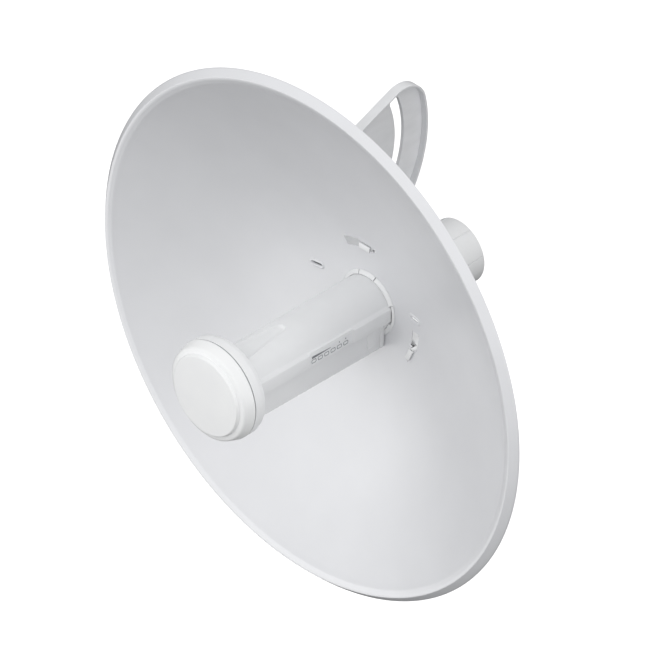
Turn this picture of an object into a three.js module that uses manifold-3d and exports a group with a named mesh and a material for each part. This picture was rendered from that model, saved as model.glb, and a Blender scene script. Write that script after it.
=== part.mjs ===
// Outdoor wireless bridge: a spun steel dish with a plug-in radio feed on its axis. A rear
// housing carries both, and its elevation plate tilts on a steel bracket clamped to a pole.
//
// Millimetres, +Z up. The dish looks along -Y. Every piece is drawn about the centre of the
// dish's rim, and the whole bridge is then moved so that the origin lies on the pole's axis,
// at the middle of the clamp.
import * as THREE from 'three';
import * as BufferGeometryUtils from 'three/addons/utils/BufferGeometryUtils.js';
import Module from 'manifold-3d';

const wasm = await Module();
wasm.setup();

// ---------------------------------------------------------------- driving dimensions

const GAP = 0.3; // left between pieces that touch

const POLE = { x: -100, y: 130, z: -24, radius: 24 };

// The bowl is a paraboloid: lipY is its height at lipInner, apexY its depth on the axis.
const DISH = {
  rimRadius: 210,
  lipOuter: 204.8,
  lipInner: 199.5,
  lipY: 1.2,
  apexY: 64,
  sheet: 1,
  skirtY: 6.2,
  holeRadius: 25.7,
};

// Bayonet slots, by angle from +Z towards +X. Each has a wide mouth and a narrow neck.
const BAYONET = {
  slots: [0, 115, 241],
  mouth: { inner: 46.5, outer: 54, from: -24, to: -6.5 },
  neck: { inner: 48.6, outer: 52, from: -7, to: 10 },
  hook: { at: 0.3, halfLength: 5.3, inner: 48.2, outer: 52.4, lip: 1.6 },
};
const PEEP_SLOT = { x: 49.5, z: 10.6, length: 9, width: 2 };

const FEED = {
  radius: 22.7,
  wall: 2.2,
  frontY: -79.7,
  seamY: 57,
  blockEndY: 61.5,
  tailEndY: 140,
  tailRadius: 21.4,
  bore: 19.4,
};
// A tapered flute in the roof, from the cap's ring to a point: a cone laid along the tube.
const FLUTE = { tipY: -24, slopeZ: 0.076, flare: 0.195, wall: 2.2 };
const RAIL = { halfWidth: 24, inner: 19, top: 4.8, bottom: -4.8, shoulderZ: 8.3 };
const COVER = { topHalf: 18.4, bottomHalf: 16.6, bottomZ: -31, edgeZ: -2, wall: 1.8, corner: 2 };
const WINDOW = { from: -20, to: 23.4, bottom: -3.2, top: 4.2, floorX: 22.8 };
const BOARD = { halfWidth: 18.2, from: -55, to: 50, top: 0, thickness: 1.5 };
const BOARD_SCREWS = { front: -48, rear: 46 };
const JACK = { halfWidth: 8, from: 14, to: 36, top: -1.8, height: 15.4 };
const RESET = { x: 12.5, y: 6, housing: 6, housingTop: -1.8, housingBottom: -5, pinRadius: 1.5 };

const CAP = { faceY: -103.5, faceRadius: 32, shoulderRadius: 36.9, edgeRadius: 39.5, edgeY: -91.3 };
const CAP_RING = { frontY: -90.7, backY: -80, radius: 39.4, backRadius: 38.2, hole: 14 };

const SLEEVE = { outer: 25.3, inner: 23.2, frontY: 67.3, endY: 155.5 };
const HUB = { radius: 36, frontY: 64.9, backY: 70.5, seat: 25.5, armReach: 56, armWidth: 13 };
const SADDLE = { outerX: -53.7, frontY: 74.7, backY: 104, halfHeight: 19.5, wall: 3 };
const SADDLE_SCREWS = { y: [84, 98], z: [-10, 10] };
const LATCH = { angle: 119, from: 100, to: 122, halfWidth: 5, top: 27.2, bottom: 23.3 };

// The elevation plate turns about the pivot, and the lock bolt rides in its curved slot.
const PIVOT = { y: 68, z: 80.5 };
const PLATE = {
  outerX: -57,
  innerX: -54,
  flangeX: -49,
  flangeWall: 1.8,
  rimRadius: 104.5,
  bossRadius: 14,
  kink: { y: 100, z: 102.9 },
  corner: { y: 148.5, z: 98.6, radius: 22 },
  bottomZ: -22,
  frontY: 72.5,
};
const ARC_SLOT = { radius: 80, halfWidth: 4.5, from: -52.5, to: 20.3 };
const LOCK_ANGLE = -36;

const BRACKET = { sheet: 3, outerX: -60.3, farX: -144, webY: 97, flangeY: 122, halfHeight: 20 };
const JAW = { webY: 160, nearX: -57, flangeY: 138 };
const VEE = { halfAngle: 60, toothPitch: 5, toothDepth: 1.4 };
const CLAMP_BOLT_OFFSET = 34;
const CLAMP_BOLT_END = 181;

// M8 fasteners
const M8 = { shank: 4, hole: 4.4, hex: 7.4, nut: 6.5, washer: 8, washerThickness: 1.6, head: 5.2 };

// ---------------------------------------------------------------- materials

function finish(color, roughness, metalness) {
  return () => new THREE.MeshStandardMaterial({ color, roughness, metalness });
}

const paintedSteel = finish('#e6e7e9', 0.45, 0.0);
const whitePlastic = finish('#ebecee', 0.5, 0.0);
const greyPlastic = finish('#8b8e92', 0.55, 0.0);
const clearPlastic = finish('#d7dde3', 0.2, 0.0);
const zincSteel = finish('#b7bac0', 0.4, 0.9);
const tinnedSteel = finish('#c9cbd0', 0.3, 1.0);
const aluminium = finish('#c4c7cb', 0.35, 1.0);
const boardLaminate = finish('#1f5d3a', 0.5, 0.0);
const blackRubber = finish('#2a2b2d', 0.8, 0.0);

// ---------------------------------------------------------------- solids

const radians = THREE.MathUtils.degToRad;

function toSolid(geometry) {
  const bare = geometry.clone();
  bare.deleteAttribute('normal');
  bare.deleteAttribute('uv');
  const merged = BufferGeometryUtils.mergeVertices(bare);
  const vertProperties = new Float32Array(merged.attributes.position.array);
  const triVerts = new Uint32Array(merged.index.array);
  return new wasm.Manifold(new wasm.Mesh({ numProp: 3, vertProperties, triVerts }));
}

function toGeometry(solid) {
  const mesh = solid.getMesh();
  const geometry = new THREE.BufferGeometry();
  geometry.setAttribute('position', new THREE.BufferAttribute(mesh.vertProperties, 3));
  geometry.setIndex(new THREE.BufferAttribute(mesh.triVerts, 1));
  geometry.computeVertexNormals();
  return geometry;
}

function join(first, ...others) {
  return toGeometry(others.reduce((sum, other) => sum.add(toSolid(other)), toSolid(first)));
}

function cut(first, ...others) {
  return toGeometry(others.reduce((rest, other) => rest.subtract(toSolid(other)), toSolid(first)));
}

// An outline pushed through from one value to another along an axis. Its two coordinates are
// y, z along x; x, z along y; and x, y along z.
function slab(axis, outline, from, to, curveSegments = 12) {
  const options = { depth: to - from, bevelEnabled: false, curveSegments };
  const geometry = new THREE.ExtrudeGeometry(outline, options);
  const [x, y, z] = [[1, 0, 0], [0, 1, 0], [0, 0, 1]].map((v) => new THREE.Vector3(...v));
  const frames = { x: [y, z, x], y: [x, z, y.clone().negate()], z: [x, y, z] };
  const frame = new THREE.Matrix4().makeBasis(...frames[axis]);
  geometry.applyMatrix4(frame);
  geometry.translate(
    axis === 'x' ? from : 0,
    axis === 'y' ? to : 0,
    axis === 'z' ? from : 0,
  );
  return geometry;
}

function box(x0, x1, y0, y1, z0, z1) {
  const geometry = new THREE.BoxGeometry(x1 - x0, y1 - y0, z1 - z0);
  return geometry.translate((x0 + x1) / 2, (y0 + y1) / 2, (z0 + z1) / 2);
}

function disc(u, v, radius) {
  return new THREE.Shape().absarc(u, v, radius, 0, 2 * Math.PI, false);
}

function ring(u, v, outer, inner) {
  const shape = disc(u, v, outer);
  shape.holes.push(new THREE.Path().absarc(u, v, inner, 0, 2 * Math.PI, true));
  return shape;
}

function hexagon(u, v, radius) {
  const corners = [0, 1, 2, 3, 4, 5].map((k) => {
    const turn = (k * Math.PI) / 3;
    return new THREE.Vector2(u + radius * Math.cos(turn), v + radius * Math.sin(turn));
  });
  return new THREE.Shape(corners);
}

function polygon(points) {
  return new THREE.Shape(points.map(([u, v]) => new THREE.Vector2(u, v)));
}

function rod(axis, u, v, radius, from, to, curveSegments = 8) {
  return slab(axis, disc(u, v, radius), from, to, curveSegments);
}

// Turns a closed section of (radius, y) points about the dish's axis. The points run outwards
// along the front, then back along the rear.
function turned(points, segments = 40) {
  const profile = points.map(([radius, y]) => new THREE.Vector2(radius, y));
  if (points[0][0] > 0) profile.push(profile[0].clone());
  return new THREE.LatheGeometry(profile, segments);
}

// A piece of a flat ring, in x and z, between two angles from +Z towards +X.
function sector(inner, outer, from, to, steps = 5) {
  const at = (radius, k) => {
    const angle = radians(from + ((to - from) * k) / steps);
    return [radius * Math.sin(angle), radius * Math.cos(angle)];
  };
  const count = [...Array(steps + 1).keys()];
  const inwards = count.map((k) => at(inner, k));
  const outwards = count.map((k) => at(outer, k)).reverse();
  return polygon([...inwards, ...outwards]);
}

// ---------------------------------------------------------------- assembly

const bridge = new THREE.Group();
bridge.position.set(-POLE.x, -POLE.y, -POLE.z);

function add(name, geometry, material) {
  const mesh = new THREE.Mesh(geometry, material());
  mesh.name = name;
  bridge.add(mesh);
}

// ---------------------------------------------------------------- reflector dish

function bowlY(radius) {
  return DISH.apexY - (DISH.apexY - DISH.lipY) * (radius / DISH.lipInner) ** 2;
}

function bowlBackY(radius) {
  const slope = (2 * (DISH.apexY - DISH.lipY) * radius) / DISH.lipInner ** 2;
  return bowlY(radius) + DISH.sheet * Math.hypot(1, slope);
}

function reflectorDish() {
  const steps = 6;
  const radii = [...Array(steps + 1).keys()].map(
    (k) => DISH.holeRadius + ((DISH.lipInner - DISH.holeRadius) * k) / steps,
  );
  const front = radii.map((radius) => [radius, bowlY(radius)]);
  const back = radii.map((radius) => [radius, bowlBackY(radius)]).reverse();
  const { rimRadius, lipOuter, lipInner, skirtY, sheet } = DISH;
  const roll = rimRadius - lipOuter;
  const quarter = (radius) =>
    [0, 22.5, 45, 67.5, 90].map((degrees) => [
      lipOuter + radius * Math.sin(radians(degrees)),
      roll - radius * Math.cos(radians(degrees)),
    ]);
  const rolledRim = [
    ...quarter(roll),
    [rimRadius, skirtY],
    [rimRadius - sheet, skirtY],
    ...quarter(roll - sheet).reverse(),
    [lipInner + 2.2, 1.75],
  ];
  const sheetMetal = turned([...front, ...rolledRim, ...back], 64);

  const slots = BAYONET.slots.flatMap((angle) =>
    [BAYONET.mouth, BAYONET.neck].map(({ inner, outer, from, to }) => {
      const outline = sector(inner, outer, angle + from, angle + to);
      return slab('y', outline, bowlY(60) - 5, DISH.apexY + 5);
    }),
  );
  const peeps = [-PEEP_SLOT.x, PEEP_SLOT.x].map((x) => {
    const { length, width, z } = PEEP_SLOT;
    const [x0, x1] = [x - length / 2, x + length / 2];
    return box(x0, x1, bowlY(60) - 5, DISH.apexY + 5, z - width / 2, z + width / 2);
  });
  return cut(sheetMetal, ...slots, ...peeps);
}

add('reflector_dish', reflectorDish(), paintedSteel);

// ---------------------------------------------------------------- rear housing

// The three arms reach behind the bowl, and a hook on each comes through its bayonet slot.
function hookArm(angle) {
  const { armWidth, armReach, frontY } = HUB;
  const { neck, hook } = BAYONET;
  const half = hook.halfLength;
  const arm = box(-armWidth / 2, armWidth / 2, frontY, frontY + 6.6, 28, armReach);
  const lipBack = bowlY(hook.outer) - 0.4;
  const stem = box(-half, half, lipBack - 1, frontY + 1, neck.inner + GAP, neck.outer - GAP);
  const tab = box(-half, half, lipBack - hook.lip, lipBack, hook.inner, hook.outer);
  return join(arm, stem, tab).rotateY(radians(angle + hook.at));
}

function saddle() {
  const { outerX, frontY, backY, halfHeight, wall } = SADDLE;
  const block = box(outerX, -20, frontY, backY, -halfHeight, halfHeight);
  const bore = rod('y', 0, 0, SLEEVE.outer - 0.8, frontY - 1, backY + 1, 24);
  const pockets = [-1, 1].map((side) => {
    const [near, far] = [1.5 * side, (halfHeight - wall) * side];
    const [z0, z1] = [Math.min(near, far), Math.max(near, far)];
    return box(outerX + wall, -28.5, frontY + wall, backY + 1, z0, z1);
  });
  const screwHoles = SADDLE_SCREWS.y.flatMap((y) =>
    SADDLE_SCREWS.z.map((z) => rod('x', y, z, 2.2, outerX - 1, outerX + wall + 1)),
  );
  return cut(block, bore, ...pockets, ...screwHoles);
}

function latchWindow() {
  const { angle, from, to, halfWidth } = LATCH;
  return box(-halfWidth, halfWidth, from, to, SLEEVE.inner - 3, SLEEVE.outer + 2)
    .rotateY(radians(angle));
}

function rearHousing() {
  const { outer, inner, frontY, endY } = SLEEVE;
  const sleeve = turned([
    [HUB.seat, HUB.frontY],
    [HUB.radius, HUB.frontY],
    [HUB.radius, HUB.backY],
    [outer + 4, HUB.backY + 1.5],
    [outer, HUB.backY + 8],
    [outer, endY - 0.9],
    [outer - 0.9, endY],
    [inner, endY],
    [inner, frontY],
    [HUB.seat, frontY],
  ]);
  const arms = BAYONET.slots.map(hookArm);
  return cut(join(sleeve, saddle(), ...arms), latchWindow());
}

add('rear_housing', rearHousing(), whitePlastic);

const collar = turned([
  [FEED.radius + GAP, 62.8],
  [23.2, 62.7],
  [HUB.seat - GAP, 64.9],
  [HUB.seat - GAP, SLEEVE.frontY - GAP],
  [FEED.radius + GAP, SLEEVE.frontY - GAP],
]);
add('mouth_collar', collar, whitePlastic);

function feedLatch() {
  const { angle, from, to, halfWidth, top, bottom } = LATCH;
  const half = halfWidth - GAP;
  const key = box(-half, half, from + GAP, to - GAP, bottom, top - 0.8);
  const thumbPad = box(-half + 1, half - 1, from + 3, to - 3, top - 1, top);
  return join(key, thumbPad).rotateY(radians(angle));
}
add('feed_latch', feedLatch(), greyPlastic);

// ---------------------------------------------------------------- elevation plate

// The plate's outline in y and z, drawn inwards by an inset.
function plateOutline(inset) {
  const { rimRadius, bossRadius, kink, corner, bottomZ, frontY } = PLATE;
  const rim = rimRadius - inset;
  const boss = bossRadius - inset;
  const rimStart = radians(-62);
  const cornerStart = Math.atan2(corner.z - PIVOT.z, corner.y - PIVOT.y);
  const topSlope = Math.atan(0.4);
  const outline = new THREE.Shape();
  outline.moveTo(frontY + inset, bottomZ + inset);
  outline.lineTo(101, bottomZ + inset);
  outline.quadraticCurveTo(
    112 - inset,
    bottomZ + inset,
    PIVOT.y + rim * Math.cos(rimStart),
    PIVOT.z + rim * Math.sin(rimStart),
  );
  outline.absarc(PIVOT.y, PIVOT.z, rim, rimStart, cornerStart, false);
  outline.absarc(
    corner.y,
    corner.z,
    corner.radius - inset,
    cornerStart,
    topSlope + Math.PI / 2,
    false,
  );
  outline.lineTo(kink.y + 0.3 * inset, kink.z - 0.95 * inset);
  outline.absarc(PIVOT.y, PIVOT.z, boss, radians(104), Math.PI, false);
  outline.lineTo(frontY + inset, 46);
  return outline;
}

function arcSlot() {
  const { radius, halfWidth, from, to } = ARC_SLOT;
  const end = (degrees) => [
    PIVOT.y + radius * Math.cos(radians(degrees)),
    PIVOT.z + radius * Math.sin(radians(degrees)),
  ];
  const [start, stop] = [radians(from), radians(to)];
  const slot = new THREE.Shape();
  slot.absarc(PIVOT.y, PIVOT.z, radius + halfWidth, start, stop, false);
  slot.absarc(...end(to), halfWidth, stop, stop + Math.PI, false);
  slot.absarc(PIVOT.y, PIVOT.z, radius - halfWidth, stop, start, true);
  slot.absarc(...end(from), halfWidth, start + Math.PI, start + 2 * Math.PI, false);
  return slot;
}

function elevationPlate() {
  const { outerX, innerX, flangeX, flangeWall } = PLATE;
  const tray = slab('x', plateOutline(0), outerX, flangeX, 10);
  const hollow = slab('x', plateOutline(flangeWall), innerX, flangeX + 1, 10);
  const slot = slab('x', arcSlot(), outerX - 1, flangeX + 1, 14);
  const pivotHole = rod('x', PIVOT.y, PIVOT.z, M8.hole, outerX - 1, innerX + 1, 12);
  const screwHoles = SADDLE_SCREWS.y.flatMap((y) =>
    SADDLE_SCREWS.z.map((z) => rod('x', y, z, 2.1, outerX - 1, innerX + 1)),
  );
  return cut(tray, hollow, slot, pivotHole, ...screwHoles);
}

add('elevation_plate', elevationPlate(), whitePlastic);

SADDLE_SCREWS.y.forEach((y, row) => {
  SADDLE_SCREWS.z.forEach((z, column) => {
    const seat = SADDLE.outerX + SADDLE.wall + GAP;
    const shank = rod('x', y, z, 1.8, PLATE.outerX + GAP, seat + 0.5, 6);
    const head = rod('x', y, z, 3.5, seat, seat + 2.4, 6);
    add(`plate_screw_${1 + 2 * row + column}`, join(head, shank), zincSteel);
  });
});

// ---------------------------------------------------------------- feed: cap and its ring

const radomeCap = turned([
  [0, CAP.faceY],
  [CAP.faceRadius - 0.8, CAP.faceY],
  [CAP.faceRadius, CAP.faceY + 0.8],
  [CAP.faceRadius + 0.3, CAP.faceY + 2.9],
  [CAP.shoulderRadius - 0.9, CAP.faceY + 3.1],
  [CAP.shoulderRadius, CAP.faceY + 3.9],
  [CAP.edgeRadius, CAP.edgeY],
  [CAP.edgeRadius - 2.1, CAP.edgeY],
  [CAP.shoulderRadius - 2, CAP.faceY + 5.1],
  [CAP.faceRadius - 2, CAP.faceY + 4.9],
  [CAP.faceRadius - 2, CAP.faceY + 2],
  [0, CAP.faceY + 2],
]);
add('radome_cap', radomeCap, whitePlastic);

const capRing = turned([
  [CAP_RING.radius - 2, CAP_RING.frontY],
  [CAP_RING.radius, CAP_RING.frontY],
  [CAP_RING.radius, CAP_RING.backY - 4],
  [CAP_RING.backRadius, CAP_RING.backY],
  [CAP_RING.hole, CAP_RING.backY],
  [CAP_RING.hole, CAP_RING.backY - 2],
  [CAP_RING.backRadius - 2, CAP_RING.backY - 2],
  [CAP_RING.radius - 2, CAP_RING.backY - 4.5],
]);
add('cap_ring', capRing, whitePlastic);

const capSeal = turned([
  [34.6, -92.2],
  [35.5, -93],
  [36.4, -92.2],
  [36.4, -89.8],
  [35.5, -89],
  [34.6, -89.8],
]);
add('cap_seal', capSeal, blackRubber);

const subreflector = turned([
  [0, -98],
  [27.6, -97.6],
  [28.6, -97],
  [28.6, -96.2],
  [6, -95],
  [0, -94.6],
]);
add('subreflector', subreflector, aluminium);

const feedHorn = turned([
  [0, -60],
  [11.5, -60],
  [11.5, -92.5],
  [13, -92.5],
  [13, -58],
  [0, -58],
], 32);
add('feed_horn', feedHorn, aluminium);

// ---------------------------------------------------------------- feed: tube

// The upper shell's section in x and z: a half-round roof with a raised rail down each side.
function shellSection() {
  const { halfWidth, inner, top, bottom, shoulderZ } = RAIL;
  const shoulder = Math.asin(shoulderZ / FEED.radius);
  const innerRadius = FEED.radius - FEED.wall;
  const springing = Math.acos(inner / innerRadius);
  const section = new THREE.Shape();
  section.moveTo(inner, bottom);
  section.lineTo(halfWidth, bottom);
  section.lineTo(halfWidth, top);
  section.absarc(0, 0, FEED.radius, shoulder, Math.PI - shoulder, false);
  section.lineTo(-halfWidth, top);
  section.lineTo(-halfWidth, bottom);
  section.lineTo(-inner, bottom);
  section.absarc(0, 0, innerRadius, Math.PI - springing, springing, true);
  return section;
}

// Half the cover's section, from its upper edge down to the middle, drawn inwards by a wall.
function trough(inset, topZ) {
  const { topHalf, bottomHalf, bottomZ, corner } = COVER;
  const right = [
    [topHalf - inset, topZ],
    [bottomHalf - inset, bottomZ + corner + inset * 0.6],
    [bottomHalf - corner - inset * 0.6, bottomZ + inset],
  ];
  const left = right.map(([x, z]) => [-x, z]).reverse();
  return [...right, ...left];
}

// The flute's cone, or with a wall added, the skin left under it.
function fluteCone(wall, frontY) {
  const length = FLUTE.tipY - frontY + wall * 4;
  const cone = new THREE.CylinderGeometry(0, FLUTE.flare * length, length, 24);
  cone.translate(0, -length / 2, 0);
  cone.rotateX(-Math.atan(FLUTE.slopeZ));
  return cone.translate(0, FLUTE.tipY + wall * 4, FEED.radius - wall * 0.3);
}

function feedTube() {
  const { frontY, seamY, blockEndY, tailEndY, tailRadius, radius, bore } = FEED;
  const shell = slab('y', shellSection(), frontY, blockEndY, 10);
  const skin = toGeometry(
    toSolid(fluteCone(FLUTE.wall, frontY)).intersect(
      toSolid(rod('y', 0, 0, FEED.radius, frontY, blockEndY, 20)),
    ),
  );
  const block = slab('y', polygon(trough(0, RAIL.bottom + 3)), seamY, blockEndY);
  const tail = turned([
    [bore, blockEndY - 1.5],
    [radius, blockEndY - 1.5],
    [radius, 72],
    [tailRadius, 73],
    [tailRadius, tailEndY - 6],
    [radius, tailEndY - 5],
    [radius, tailEndY],
    [bore + 1.2, tailEndY],
    [bore + 1.2, tailEndY - 8],
    [bore, tailEndY - 8],
  ]);
  const bosses = Object.values(BOARD_SCREWS).map((y) => rod('z', 0, y, 3.4, GAP, 21.5));
  const bossHoles = Object.values(BOARD_SCREWS).map((y) => rod('z', 0, y, 1.5, GAP - 1, 8));
  const cableWay = rod('y', 0, 0, bore, seamY - 1, blockEndY + 1, 24);
  const blockCut = cut(block, cableWay);
  const windowRecess = box(
    WINDOW.floorX,
    RAIL.halfWidth + 1,
    WINDOW.from,
    WINDOW.to,
    WINDOW.bottom,
    WINDOW.top,
  );
  const lightSlot = box(RAIL.inner - 1, WINDOW.floorX + 1, -14, 14, 0, 2.3);
  const whole = join(shell, skin, blockCut, tail, ...bosses);
  return cut(whole, fluteCone(0, frontY - 1), ...bossHoles, windowRecess, lightSlot);
}

add('feed_tube', feedTube(), whitePlastic);

function portCover() {
  const { wall, edgeZ } = COVER;
  const end = FEED.seamY - GAP;
  const outside = slab('y', polygon(trough(0, edgeZ)), FEED.frontY, end);
  const inside = slab('y', polygon(trough(wall, edgeZ + 1)), FEED.frontY - 1, end + 1);
  return cut(outside, inside);
}
add('port_cover', portCover(), whitePlastic);

const windowPlate = box(
  WINDOW.floorX + GAP,
  RAIL.halfWidth - GAP,
  WINDOW.from + GAP,
  WINDOW.to - GAP,
  WINDOW.bottom + GAP,
  WINDOW.top - GAP,
);
add('led_window', windowPlate, clearPlastic);
add('light_guide', box(15.5, WINDOW.floorX - GAP, -13.6, 13.6, 0.4, 1.9), clearPlastic);

const tailGland = turned([
  [8, FEED.tailEndY - 7.7],
  [FEED.bore + 0.9, FEED.tailEndY - 7.7],
  [FEED.bore + 0.9, FEED.tailEndY - 1],
  [10, FEED.tailEndY - 1],
  [8, FEED.tailEndY - 3],
], 32);
add('tail_gland', tailGland, blackRubber);

// ---------------------------------------------------------------- feed: radio board

function circuitBoard() {
  const { halfWidth, from, to, top, thickness } = BOARD;
  const laminate = box(-halfWidth, halfWidth, from, to, top - thickness, top);
  const holes = Object.values(BOARD_SCREWS).map((y) => rod('z', 0, y, 1.6, top - 3, top + 1));
  return cut(laminate, ...holes);
}
add('circuit_board', circuitBoard(), boardLaminate);

const shieldCan = cut(
  box(-13, 13, -40, -2, GAP, 6.3),
  box(-12.2, 12.2, -39.2, -2.8, GAP - 1, 5.5),
);
add('rf_shield', shieldCan, tinnedSteel);

function networkJack() {
  const { halfWidth, from, to, top, height } = JACK;
  const shell = box(-halfWidth, halfWidth, from, to, top - height, top);
  const socket = box(-6, 6, to - 14, to + 1, top - height + 2.4, top - 4.4);
  const tongueNotch = box(-3.2, 3.2, to - 14, to + 1, top - height + 1, top - height + 3);
  return cut(shell, socket, tongueNotch);
}
add('network_jack', networkJack(), tinnedSteel);

function resetSwitch() {
  const { x, y, housing, housingTop, housingBottom, pinRadius } = RESET;
  const half = housing / 2;
  const body = box(x - half, x + half, y - half, y + half, housingBottom, housingTop);
  const well = rod('z', x, y, pinRadius + GAP, housingBottom - 1, housingBottom + 1.7);
  return cut(body, well);
}
add('reset_switch', resetSwitch(), greyPlastic);

const pinTop = RESET.housingBottom + 0.7;
const resetPin = rod('z', RESET.x, RESET.y, RESET.pinRadius, pinTop - 3.4, pinTop);
add('reset_button', resetPin, blackRubber);

for (const [place, y] of Object.entries(BOARD_SCREWS)) {
  const underside = BOARD.top - BOARD.thickness - GAP;
  const head = rod('z', 0, y, 2.8, underside - 2.2, underside);
  const shank = rod('z', 0, y, 1.2, underside - 0.5, 6, 6);
  add(`board_screw_${place}`, join(head, shank), zincSteel);
}

// ---------------------------------------------------------------- pole bracket and clamp

const LOCK = {
  y: PIVOT.y + ARC_SLOT.radius * Math.cos(radians(LOCK_ANGLE)),
  z: PIVOT.z + ARC_SLOT.radius * Math.sin(radians(LOCK_ANGLE)),
};

// The side plate runs from the pivot, round the lock bolt, down to the height of the clamp.
function sidePlate() {
  const { bossRadius } = PLATE;
  const { webY, flangeY, halfHeight } = BRACKET;
  const run = Math.atan2(LOCK.z - PIVOT.z, LOCK.y - PIVOT.y) + Math.PI / 2;
  const outline = new THREE.Shape();
  outline.moveTo(webY, POLE.z - halfHeight);
  outline.lineTo(flangeY, POLE.z - halfHeight);
  outline.lineTo(flangeY, POLE.z + halfHeight);
  outline.absarc(LOCK.y, LOCK.z, bossRadius, radians(-20), run, false);
  outline.absarc(PIVOT.y, PIVOT.z, bossRadius, run, Math.PI + 0.5, false);
  outline.lineTo(webY, 18);
  return outline;
}

// One vee of a clamping flange in x and y: apex on the pole's side of the web, toothed edges.
function veeFlange(nearX, farX, baseY, tipY) {
  const side = Math.sign(tipY - baseY);
  const apexY = POLE.y - (side * POLE.radius) / Math.sin(radians(VEE.halfAngle));
  const depth = Math.abs(tipY - apexY);
  const halfMouth = depth * Math.tan(radians(VEE.halfAngle));
  const teeth = Math.floor(halfMouth / VEE.toothPitch);
  const edge = [];
  for (let k = teeth; k > 0; k -= 1) {
    const out = halfMouth * (k / teeth);
    const along = out / Math.tan(radians(VEE.halfAngle));
    const mid = halfMouth * ((k - 0.5) / teeth);
    const midAlong = mid / Math.tan(radians(VEE.halfAngle)) - VEE.toothDepth;
    edge.push([out, apexY + side * along]);
    edge.push([mid, apexY + side * midAlong]);
  }
  const right = edge.map(([out, y]) => [POLE.x + out, y]);
  const left = edge.map(([out, y]) => [POLE.x - out, y]).reverse();
  return polygon([[nearX, baseY], [nearX, tipY], ...right, ...left, [farX, tipY], [farX, baseY]]);
}

const CLAMP_BOLTS = { left: POLE.x - CLAMP_BOLT_OFFSET, right: POLE.x + CLAMP_BOLT_OFFSET };

function veeFlanges(nearX, farX, baseY, tipY) {
  const { sheet, halfHeight } = BRACKET;
  const outline = veeFlange(nearX, farX, baseY, tipY);
  const top = slab('z', outline, POLE.z + halfHeight - sheet, POLE.z + halfHeight);
  const bottom = slab('z', outline, POLE.z - halfHeight, POLE.z - halfHeight + sheet);
  return [top, bottom];
}

function boltHoles(radius, y) {
  return Object.values(CLAMP_BOLTS).map((x) => rod('y', x, POLE.z, radius, y - 5, y + 8, 10));
}

function poleBracket() {
  const { sheet, outerX, farX, webY, flangeY, halfHeight } = BRACKET;
  const side = slab('x', sidePlate(), outerX, outerX + sheet, 10);
  const [low, high] = [POLE.z - halfHeight, POLE.z + halfHeight];
  const web = box(farX, outerX + 1, webY, webY + sheet, low, high);
  const flanges = veeFlanges(outerX + 1, farX, webY + 1, flangeY);
  const pivotHole = rod('x', PIVOT.y, PIVOT.z, M8.hole, outerX - 1, outerX + sheet + 1, 10);
  const lockHole = rod('x', LOCK.y, LOCK.z, M8.hole, outerX - 1, outerX + sheet + 1, 10);
  return cut(join(side, web, ...flanges), pivotHole, lockHole, ...boltHoles(M8.hole, webY));
}
add('pole_bracket', poleBracket(), zincSteel);

function clampJaw() {
  const { sheet, farX, halfHeight } = BRACKET;
  const { webY, nearX, flangeY } = JAW;
  const web = box(farX, nearX, webY, webY + sheet, POLE.z - halfHeight, POLE.z + halfHeight);
  const flanges = veeFlanges(nearX, farX, webY + 1, flangeY);
  return cut(join(web, ...flanges), ...boltHoles(M8.hole, webY));
}
add('clamp_jaw', clampJaw(), zincSteel);

for (const [side, x] of Object.entries(CLAMP_BOLTS)) {
  const head = rod('y', x, POLE.z, 8, BRACKET.webY - GAP - 3, BRACKET.webY - GAP, 10);
  const dome = rod('y', x, POLE.z, 5.5, BRACKET.webY - GAP - 4.4, BRACKET.webY - GAP - 2, 10);
  const shank = rod('y', x, POLE.z, M8.shank, BRACKET.webY - 1, CLAMP_BOLT_END, 10);
  add(`clamp_bolt_${side}`, join(head, dome, shank), zincSteel);
  const washerY = JAW.webY + BRACKET.sheet + GAP;
  const washer = ring(x, POLE.z, M8.washer, M8.hole);
  add(`clamp_washer_${side}`, slab('y', washer, washerY, washerY + M8.washerThickness), zincSteel);
  const nutY = washerY + M8.washerThickness + GAP;
  const nut = hexagon(x, POLE.z, M8.hex);
  const nutBody = slab('y', nut, nutY, nutY + M8.nut);
  const thread = rod('y', x, POLE.z, M8.shank + GAP, nutY - 1, nutY + M8.nut + 1, 10);
  add(`clamp_nut_${side}`, cut(nutBody, thread), zincSteel);
}

// Pivot and lock bolts run along x through the bracket and the elevation plate.
for (const [name, place] of Object.entries({ pivot: PIVOT, lock: LOCK })) {
  const { y, z } = place;
  const headEnd = BRACKET.outerX - GAP;
  const washerX = PLATE.innerX + GAP;
  const nutX = washerX + M8.washerThickness + GAP;
  const head = slab('x', hexagon(y, z, M8.hex), headEnd - M8.head, headEnd);
  const shank = rod('x', y, z, M8.shank, headEnd - 1, nutX + M8.nut + 2, 10);
  add(`${name}_bolt`, join(head, shank), zincSteel);
  const washer = ring(y, z, M8.washer, M8.hole);
  add(`${name}_washer`, slab('x', washer, washerX, washerX + M8.washerThickness), zincSteel);
  const nutBody = slab('x', hexagon(y, z, M8.hex), nutX, nutX + M8.nut);
  const thread = rod('x', y, z, M8.shank + GAP, nutX - 1, nutX + M8.nut + 1, 10);
  add(`${name}_nut`, cut(nutBody, thread), zincSteel);
}

export default bridge;
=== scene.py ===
import math

import bpy
import bmesh
from mathutils import Matrix, Vector
from mathutils.geometry import tessellate_polygon


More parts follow.
